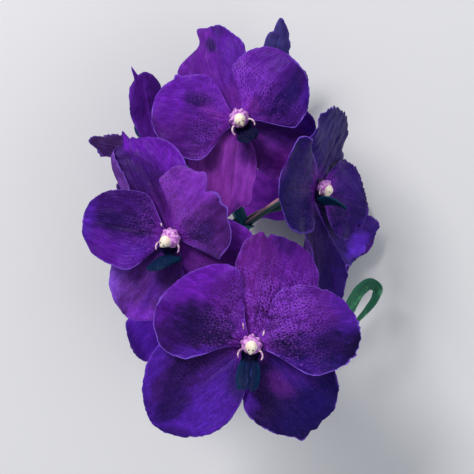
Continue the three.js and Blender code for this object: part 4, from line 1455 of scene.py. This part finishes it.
def top_flower() -> Flower:
    """The open flower nearest the tip of the spray, facing straight up."""
    tepals = [
        tepal(Kind.DORSAL, 115, face(
            seen(105, 45, 155), seen(92, 36, 158), Spot(0.79, 0.05, 0.07, 0.13, INDIGO, 0.95),
            Spot(0.95, -0.6, 0.1, 0.4, DEEP, 0.7), Spot(0.75, 0.9, 0.2, 0.2, LILAC, 0.7),
            Spot(0.2, -0.2, 0.14, 0.4, ROSE, 0.7),
            net=0.35, net_reach=0.5, crease=0.15, squares=0.12),
            length=46.5, left=20.5, right=14.5, belly=0.67, shoulder=0.95, tip=1.3, sway=-0.14,
            rise=6, lobes=((50, -6, 20), (21, 3.4, 8), (-3, -0.8, 9), (-24, 1.0, 10))),
        tepal(Kind.PETAL, 172, face(
            seen(80, 30, 122), seen(104, 43, 168), Spot(0.5, -0.38, 0.15, 0.24, INDIGO, 0.95),
            Spot(0.38, 0.4, 0.2, 0.25, DEEP, 0.7), Spot(0.25, -0.1, 0.2, 0.16, ROSE, 0.9),
            Spot(0.88, -0.2, 0.2, 0.6, VIVID, 0.7), Spot(0.15, 0.8, 0.1, 0.3, ROSE, 0.6),
            net=0.55, glitter=0.3, net_reach=0.6, crease=0.15, rim_left=0.75, squares=0.12),
            length=40.5, left=21.5, right=18.5, belly=0.42, shoulder=2, tip=2.15,
            lobes=((-49, 1.9, 3.5),), rolls=(Roll(side=1, start=0.15, end=0.75, width=1.6, turn=80),)),
        tepal(Kind.PETAL, 45, face(
            seen(92, 40, 150), seen(64, 34, 118), Spot(0.6, -0.42, 0.3, 0.2, NAVY, 0.95),
            Spot(0.18, 0, 0.12, 0.3, ROSE, 0.8), Spot(0.8, -0.88, 0.18, 0.2, COBALT, 0.8),
            Spot(0.87, 0.3, 0.14, 0.4, VIOLET, 0.7), Spot(0.95, -0.7, 0.09, 0.3, DEEP, 0.7),
            net=0.85, glitter=0.3, net_right=0.4, crease=0.3, rim_right=0.75, squares=0.1),
            length=38, left=22, right=22, belly=0.41, shoulder=2.1, tip=2.25, sway=0.04, crease=-18,
            rise=34, bend=-34, rolls=(Roll(side=-1, start=0.15, end=0.7, width=1.5, turn=80),)),
        tepal(Kind.LATERAL, -99, face(
            seen(150, 78, 188), seen(148, 76, 176), Spot(0.27, 0.5, 0.16, 0.4, DEEP, 0.85),
            Spot(0.42, -0.5, 0.14, 0.2, PLUM, 0.7), Spot(0.96, 0.7, 0.07, 0.3, STEEL, 0.6),
            net=0.1, crease=0.4, rim_left=0.1, rim_right=0.1, rays=0.3, halo=0.1, squares=0.1,
            strokes=0.1),
            length=41, left=11, right=22, belly=0.5, shoulder=0.9, tip=1.6, sway=0.06, rise=6,
            lobes=((-13, 8.5, 11), (30, 3.6, 14))),
        tepal(Kind.LATERAL, -24, face(
            seen(84, 50, 132), seen(122, 64, 166), Spot(0.5, 0.1, 0.35, 0.28, DEEP, 0.7),
            Spot(0.5, -0.6, 0.3, 0.3, PLUM, 0.6), Spot(0.68, -0.35, 0.14, 0.3, PLUM, 0.8),
            Spot(0.82, 0.85, 0.16, 0.35, COBALT, 0.8),
            net=0.1, crease=0.2, rim_left=0.1, rim_right=0.1, rays=0.3, halo=0.2),
            length=36.5, left=18.5, right=18, shoulder=0.5, tip=2.4, sway=-0.02, back=4.6, rise=-2),
    ]
    return Flower(
        "top", at=(1.4, 47.4, 66), yaw=0, pitch=0, lip_angle=-64,
        stalk=Stalk((-0.2, 22, 40.2), (0, 32, 42), 12.5), fine=True, tepals=tepals,
        lip=Lip(lift=90, root=6.3, length=14, notch=2.2, rounded=0.75,
                finish=LipFinish(ground=dye(14, 12, 46), streak=dye(30, 40, 84), side=dye(12, 20, 54))))


def right_flower() -> Flower:
    """The open flower at the right, turned well to the right."""
    tepals = [
        tepal(Kind.DORSAL, 61, face(
            seen(30, 18, 105), seen(36, 30, 98), Spot(0.5, 0, 0.4, 0.25, seen(36, 30, 92), 0.6),
            Spot(0.95, -0.2, 0.1, 0.5, STEEL, 0.6),
            net=0.15, strokes=0.1, squares=0.1),
            length=40, left=27, right=15.5, belly=0.36, shoulder=1.6, tip=2.25, sway=-0.05, cup=-1,
            rise=7, bend=-4, twist=18, scallop=0.8, teeth=0.8),
        tepal(Kind.PETAL, 178, face(
            seen(30, 25, 88), seen(35, 26, 98), Spot(0.95, -0.7, 0.1, 0.4, PALE, 0.5),
            Spot(0.55, 0, 0.25, 0.2, STEEL, 0.4),
            net=0.15, strokes=0.1, squares=0.1, rim_right=0.8),
            length=36, left=20, right=24, belly=0.69, shoulder=0.9, tip=1.7, sway=0.03, cup=21,
            rise=20, lobes=((-60, -3.2, 17), (118, 3.0, 22), (72, 2.2, 18))),
        tepal(Kind.PETAL, -14, face(
            seen(56, 38, 120), seen(36, 20, 94), Spot(0.35, -0.4, 0.2, 0.25, TEAL_SHADE, 0.85),
            Spot(0.95, 0.4, 0.1, 0.4, INK, 0.5), Spot(0.9, -0.85, 0.15, 0.25, BLUE, 0.6),
            Spot(0.2, 0.4, 0.1, 0.3, PALE, 0.4),
            net=0.2, strokes=0.12, squares=0.15),
            length=31.5, left=22, right=18.5, belly=0.6, shoulder=1.1, tip=1.6, cup=-17, rise=16,
            bend=-6, twist=-6, scallop=0.8, teeth=1.0),
        tepal(Kind.LATERAL, -81, face(
            seen(28, 13, 84), seen(34, 22, 84), Spot(0.4, 0, 0.2, 0.5, SLATE, 0.7),
            Spot(0.87, 0.8, 0.18, 0.4, BLUE, 0.5),
            net=0.1, drops=0.05, crease=0.2),
            length=58, left=18, right=23, belly=0.65, shoulder=2, tip=2.6, cup=50, rise=-10, bend=22,
            twist=-5, lobes=((-125, 4.0, 18),)),
        tepal(Kind.LATERAL, -41, face(
            seen(58, 26, 128), seen(52, 30, 120), Spot(0.28, 0, 0.3, 1.2, INK, 0.85),
            Spot(0.88, -0.1, 0.16, 0.5, seen(112, 60, 228), 0.85),
            net=0.1, drops=0.1, crease=0.2, rim_right=0.8),
            length=53.5, left=16.5, right=13.5, belly=0.85, shoulder=2.2, tip=1.6, sway=0.18, cup=22,
            rise=4, bend=-8, twist=13, back=5, teeth=0.45),
    ]
    return Flower(
        "right", at=(37.8, 14.6, 72), yaw=52, pitch=0, lip_angle=-114,
        stalk=Stalk((3.2, -2, 38), (13.7, 4.6, 46.5), 12), fine=True, tepals=tepals,
        lip=Lip(lift=108, root=6.4, length=14.5, blade=4.6, claw=3.6,
                finish=LipFinish(ground=dye(10, 40, 72), streak=dye(20, 60, 92), side=dye(8, 46, 74))),
        column=Column(scale=0.84, cap_radius=2.9, cap_at=(0.5, -0.2, 6.5)))


# Faces that hardly show, and the backs of the tepals that do
PLAIN_FACE = face(BLUE, VIOLET, Spot(0.55, 0, 0.3, 0.25, DEEP, 0.6), net=0.3, net_reach=0.6,
                  drops=0.15)
VIOLET_BACK = BackFinish(seen(120, 62, 190), seen(104, 48, 168), LILAC)
MAGENTA_BACK = BackFinish(seen(175, 80, 235), seen(140, 60, 205), LILAC)
FOLD_BACK = BackFinish(seen(120, 85, 170), seen(90, 60, 130), PALE)
GREY_BACK = BackFinish(seen(86, 60, 122), seen(64, 44, 94), PALE, shade=seen(44, 28, 70),
                       tip_shade=0.6)
SLATE_BACK = BackFinish(seen(84, 100, 152), seen(66, 76, 132), PALE, tip_shade=0.3)
BLUE_BACK = BackFinish(seen(112, 54, 210), seen(86, 42, 180), LILAC, tip_shade=0.8, rim=0.15)


def back_left_flower() -> Flower:
    """The flower under the left and top ones, facing down."""
    tepals = [
        tepal(Kind.LATERAL, 69, PLAIN_FACE, back_finish=VIOLET_BACK, length=42, left=9.5, right=10,
            shoulder=0.5, tip=1.8, sway=-0.03, scallop=0.2, teeth=0.05, lobes=((-14, 6.5, 2.6),)),
        tepal(Kind.LATERAL, -1, PLAIN_FACE, back_finish=GREY_BACK, length=38.5, left=8, right=8,
            belly=0.52, shoulder=1.0, tip=1.35, sway=0.14, twist=50, scallop=1.5, teeth=0.5,
            lobes=((-25, 2.2, 9),)),
        tepal(Kind.PETAL, -97, PLAIN_FACE, length=34, left=14, right=14, rise=40, bend=-16, root=3),
        tepal(Kind.PETAL, 140, PLAIN_FACE, length=38, left=15, right=15, rise=36, bend=-16, root=3),
        tepal(Kind.DORSAL, -140, PLAIN_FACE, length=34, left=13, right=13, rise=20),
    ]
    return Flower(
        "back_left", at=(-40.9, 36.1, 26.7), yaw=-148, pitch=20, lip_angle=70,
        lip=Lip(lift=86, root=6.2, length=10.5), stalk=Stalk((-0.5, 10, 40), (-10, 18, 41), 8),
        fine=True, tepals=tepals)


def back_top_flower() -> Flower:
    """The flower under the tip of the spray, facing down."""
    tepals = [
        tepal(Kind.PETAL, 124, PLAIN_FACE, back_finish=SLATE_BACK, length=42, left=7, right=6.5,
            belly=0.35, shoulder=0.9, tip=1.8, sway=-0.2, teeth=0.5, rise=12, bend=-20, cup=57,
            ruffle=0.9, phase=0, back=2.2),
        tepal(Kind.LATERAL, 111, PLAIN_FACE, back_finish=SLATE_BACK, length=35, left=6, right=6,
            shoulder=0.8, rise=18, bend=-26, cup=57, ruffle=1.1, phase=1, back=3.4),
        tepal(Kind.PETAL, 198, PLAIN_FACE, length=27, left=12, right=12, rise=70, bend=-20, root=4.6,
            back=0),
        tepal(Kind.DORSAL, -112, PLAIN_FACE, length=34, left=13, right=13, rise=16, bend=-16, back=3.2),
        tepal(Kind.LATERAL, -20, PLAIN_FACE, length=36, left=14, right=14, rise=46, root=4.6, back=0),
    ]
    return Flower(
        "back_top", at=(12.5, 63.3, 25), yaw=160, pitch=30, lip_angle=50,
        lip=Lip(lift=50, root=6.4), stalk=Stalk((0.8, 34, 39.4), (3, 42, 42), 8), tepals=tepals)


def back_right_flower() -> Flower:
    """The flower under the right one, facing down."""
    tepals = [
        tepal(Kind.LATERAL, 18, PLAIN_FACE, back_finish=MAGENTA_BACK, length=40, left=11, right=13.5,
            belly=0.75, shoulder=1.3, tip=3, sway=0.11, rise=18, bend=-26, ruffle=1.1, phase=1,
            back=0, lobes=((-70, 7.0, 18), (-20, 1.6, 9))),
        tepal(Kind.PETAL, 88, PLAIN_FACE, length=34, left=12, right=12, rise=50, bend=-14, root=4.6,
            back=0),
        tepal(Kind.DORSAL, 150, PLAIN_FACE, length=28, left=12, right=12, rise=64, bend=-16, root=4.6,
            back=0),
        tepal(Kind.PETAL, -144, PLAIN_FACE, length=32, left=12, right=12, rise=54, bend=-10, root=4.6,
            back=0),
        tepal(Kind.LATERAL, -93, PLAIN_FACE, length=36, left=12, right=12, rise=38, root=3),
    ]
    return Flower(
        "back_right", at=(42.6, 5.2, 24.5), yaw=165, pitch=-8, lip_angle=-66,
        lip=Lip(lift=80, root=6.4), stalk=Stalk((3, -1, 38), (17.2, 11.6, 38), 12), tepals=tepals)


def back_low_flower() -> Flower:
    """The flower under the left and front ones, facing down."""
    tepals = [
        tepal(Kind.LATERAL, -28, PLAIN_FACE, back_finish=BLUE_BACK, length=31, left=14, right=10,
            belly=0.8, shoulder=1.7, tip=1.7, sway=-0.14, rise=18, bend=-26, ruffle=1.1, phase=1,
            back=0),
        tepal(Kind.LATERAL, -105, PLAIN_FACE, length=38, left=14, right=14, rise=34, bend=-20, back=2.2),
        tepal(Kind.PETAL, 178, PLAIN_FACE, length=36, left=14, right=14, rise=46, root=4.6, back=0),
        tepal(Kind.DORSAL, 116, PLAIN_FACE, length=38, left=13, right=13, rise=50, bend=-16, root=4.6,
            back=0),
        tepal(Kind.PETAL, 44, PLAIN_FACE, length=36, left=12, right=12, rise=30, bend=-16, back=3.2),
    ]
    return Flower(
        "back_low", at=(-26.5, -44.9, 25), yaw=-165, pitch=-15, lip_angle=-62,
        lip=Lip(lift=64, root=6.2), stalk=Stalk((6, -30, 28.5), (-4, -32, 40), 14), tepals=tepals)


# --- Stem and leaf ---

@dataclass
class Stem:
    """The main stem with its nodes and bracts, and a ribbed stalk to each flower."""

    internodes: tuple[tuple[float, tuple[Triple, ...]], ...] = (    # radius and middle line of each
        (3.0, ((12.9, -94, 2.8), (10.2, -70, 12), (7, -39, 25), (3.9, -9, 36))),
        (3.3, ((4.4, -14, 34.2), (2, 1, 38.5), (-0.5, 9.4, 40), (0, 25.5, 40))),
        (2.4, ((-0.4, 22, 40.1), (2.9, 45.3, 38), (6.4, 61.3, 35))),
    )
    stalk_radius: float = 1.75
    hub_depth: float = 6.0
    sides: int = 24
    bract_depth: float = 0.6

    def _internode(self, radius: float, points: Sequence[Triple]) -> bmesh.types.BMesh:
        """One length of the stem, a little swollen at both ends."""
        curve = Spline(points)
        shares = [k / 40 for k in range(41)]
        return sweep([(curve.at(u), radius * (0.97 + 0.1 * (bell(u, 0.06) + bell(1 - u, 0.06))))
                      for u in shares], self.sides, ribs=0.012, rib_count=7)

    def _stalk(self, flower: Flower) -> bmesh.types.BMesh:
        """The stalk of one flower, ribbed, thicker at both ends."""
        way, place = flower.stalk, flower.frame()
        enter, end = (place @ Vector((0, 0, z - self.hub_depth)) for z in (-way.straight, 0.6))
        a, b = Vector(way.start), Vector(way.towards)
        stations = []
        for k in range(33):
            u = k / 32
            w = 1 - u
            centre = w ** 3 * a + 3 * w * w * u * b + 3 * w * u * u * enter + u ** 3 * end
            radius = self.stalk_radius * (0.92 + 0.22 * bell(w, 0.14) + 0.14 * bell(u, 0.08))
            stations.append((centre, radius))
        return sweep(stations, self.sides, ribs=0.06, rib_count=6)

    def _bract(self, flower: Flower) -> bmesh.types.BMesh:
        """The small pointed scale under a stalk, wrapped round it."""
        start = Vector(flower.stalk.start)
        out = (Vector(flower.stalk.towards) - start).normalized()
        axis = Vector((0, 1, 0)).cross(out).normalized() if abs(out.y) < 0.95 else Vector((1, 0, 0))
        under = out.cross(axis).normalized()

        def shape(v: float, s: float) -> Place:
            """The place at v across the scale and s along it."""
            angle = v * 1.3 * (1 - s ** 3)
            across = axis * math.sin(angle) - under * math.cos(angle)
            at = start + out * (1.0 + 5.0 * s) + across * (2.3 + 0.5 * s)
            return Place(at, 6 * s, 3 * v, 1 - abs(v), v, s, 0.4 + 0.6 * (1 - abs(v)))

        return sheet(10, 10, shape)

    def build(self, spray: Sequence[Flower], finishes: Finishes) -> None:
        """Build the stem, the stalks and the bracts.

        Args:
            spray: the flowers that the stem carries.
            finishes: the shared finishes.
        """
        stem = Part("stem", Slot.STEM)
        for index, (radius, points) in enumerate(self.internodes):
            stem.add(self._internode(radius, points), f"stem_internode_{index + 1}", finishes.stem)
        for flower in spray:
            stem.add(self._stalk(flower), f"{flower.name}_stalk", finishes.stalk)
            stem.add(self._bract(flower), f"{flower.name}_bract", finishes.stem, depth=self.bract_depth)


@dataclass
class Leaf:
    """The strap leaf, folded along its keel and turned back on itself in an open loop."""

    line: tuple[Triple, ...] = (
        (13.7, -70.3, 11.6), (27, -67, 11), (42, -61, 13), (53.4, -51, 15.5), (56.6, -44, 17.5),
        (59, -39, 19), (62, -34.2, 20.5), (66.8, -30.8, 22), (70.5, -33, 24.5), (69.3, -37.8, 26.5),
        (65.3, -43.4, 28), (60.5, -48.5, 29), (53, -56, 29),
    )
    turn: tuple[float, ...] = (60, 35, 20, 15, 15, 18, 20, 26, 46, 62, 66, 66, 60)   # at each point
    width: float = 6.5
    length: float = 130
    keel: float = 0.45
    depth: float = 0.9

    def _shape(self, curve: Spline, v: float, u: float) -> Place:
        """The place at v across the leaf and u along its middle line."""
        along = curve.heading(u)
        spot = u * (len(self.turn) - 1)
        low = min(int(spot), len(self.turn) - 2)
        angle = math.radians(self.turn[low] + (self.turn[low + 1] - self.turn[low]) * (spot - low))
        across = Vector((0, 0, 1)).cross(along).normalized()
        across.rotate(Matrix.Rotation(angle, 3, along))
        half = self.width / 2 * min(1, 0.55 + 3 * u, 4 * (1 - u) + 0.25)
        at = curve.at(u) + across * (v * half) + along.cross(across) * (self.keel * (abs(v) - 0.5))
        share = 0.4 + 0.6 * (1 - abs(v) ** 4)
        return Place(at, self.length * u, v * half, (1 - abs(v)) * half, v, u, share)

    def build(self, finishes: Finishes) -> None:
        """Build the leaf."""
        strap = sheet(14, 130, partial(self._shape, Spline(self.line)))
        Part("leaf", Slot.LEAF).add(strap, "strap_leaf", finishes.leaf, depth=self.depth)


# --- Studio ---

@dataclass
class Studio:
    """The camera above the spray, a pale floor and soft lights. Lengths in metres."""

    eye: Triple = (0.0, -0.0073, 0.720)
    half_view: float = 237 / 1388           # half the width of the picture over its distance
    clip: tuple[float, float] = (0.01, 20.0)
    floor_size: float = 4.0
    floor_tone: Colour = dye(226, 226, 228)
    aim: Triple = (0.0, 0.0, 0.06)
    sky: Colour = (0.9, 0.93, 1.0, 1.0)
    sky_strength: float = 0.42
    view: str = "Standard"                  # how light becomes display colour

    def _put(self, name: str, data: bpy.types.ID) -> bpy.types.Object:
        """Add an object to the scene and return it."""
        thing = bpy.data.objects.new(name, data)
        bpy.context.scene.collection.objects.link(thing)
        return thing

    def _camera(self) -> None:
        """The camera, looking straight down."""
        data = bpy.data.cameras.new("camera")
        data.sensor_fit = "HORIZONTAL"
        data.angle = 2 * math.atan(self.half_view)
        data.clip_start, data.clip_end = self.clip
        camera = self._put("camera", data)
        camera.location = self.eye
        bpy.context.scene.camera = camera

    def _floor(self) -> None:
        """The pale floor."""
        bm = bmesh.new()
        bmesh.ops.create_grid(bm, x_segments=2, y_segments=2, size=self.floor_size / 2)
        mesh = bpy.data.meshes.new("floor")
        bm.to_mesh(mesh)
        bm.free()
        look = Look("floor_pale")
        look.colour = self.floor_tone
        look.gloss(rough=0.9, shine=0.5)
        mesh.materials.append(look.done())
        floor = self._put("floor", mesh)

    def _light(self, name: str, at: Triple, size: float, power: float, tint: Triple) -> None:
        """One soft round light aimed at the middle of the spray."""
        data = bpy.data.lights.new(name, "AREA")
        data.shape = "DISK"
        data.size = size
        data.energy = power
        data.color = tint
        lamp = self._put(name, data)
        lamp.location = at
        lamp.rotation_euler = (Vector(self.aim) - Vector(at)).to_track_quat("-Z", "Y").to_euler()

    def build(self) -> None:
        """Set up the camera, the floor, the lights and the surrounding light."""
        self._camera()
        self._floor()
        self._light("key", at=(-0.6, 0.8, 1.05), size=0.55, power=15, tint=(1.0, 0.98, 0.96))
        self._light("fill", at=(0.9, -0.5, 1.0), size=1.2, power=3.5, tint=(0.92, 0.95, 1.0))
        world = bpy.data.worlds.new("studio")
        world.use_nodes = True
        background = world.node_tree.nodes["Background"]
        background.inputs["Color"].default_value = self.sky
        background.inputs["Strength"].default_value = self.sky_strength
        bpy.context.scene.world = world
        bpy.context.scene.view_settings.view_transform = self.view


def main() -> None:
    """Build the spray and the studio, logging each piece's faces."""
    logging.basicConfig(level=logging.INFO, format="%(message)s")
    finishes = Finishes()
    spray = flowers()
    for number, flower in enumerate(spray):
        flower.build(finishes, number)
    Stem().build(spray, finishes)
    Leaf().build(finishes)
    Studio().build()


if __name__ == "__main__":
    main()
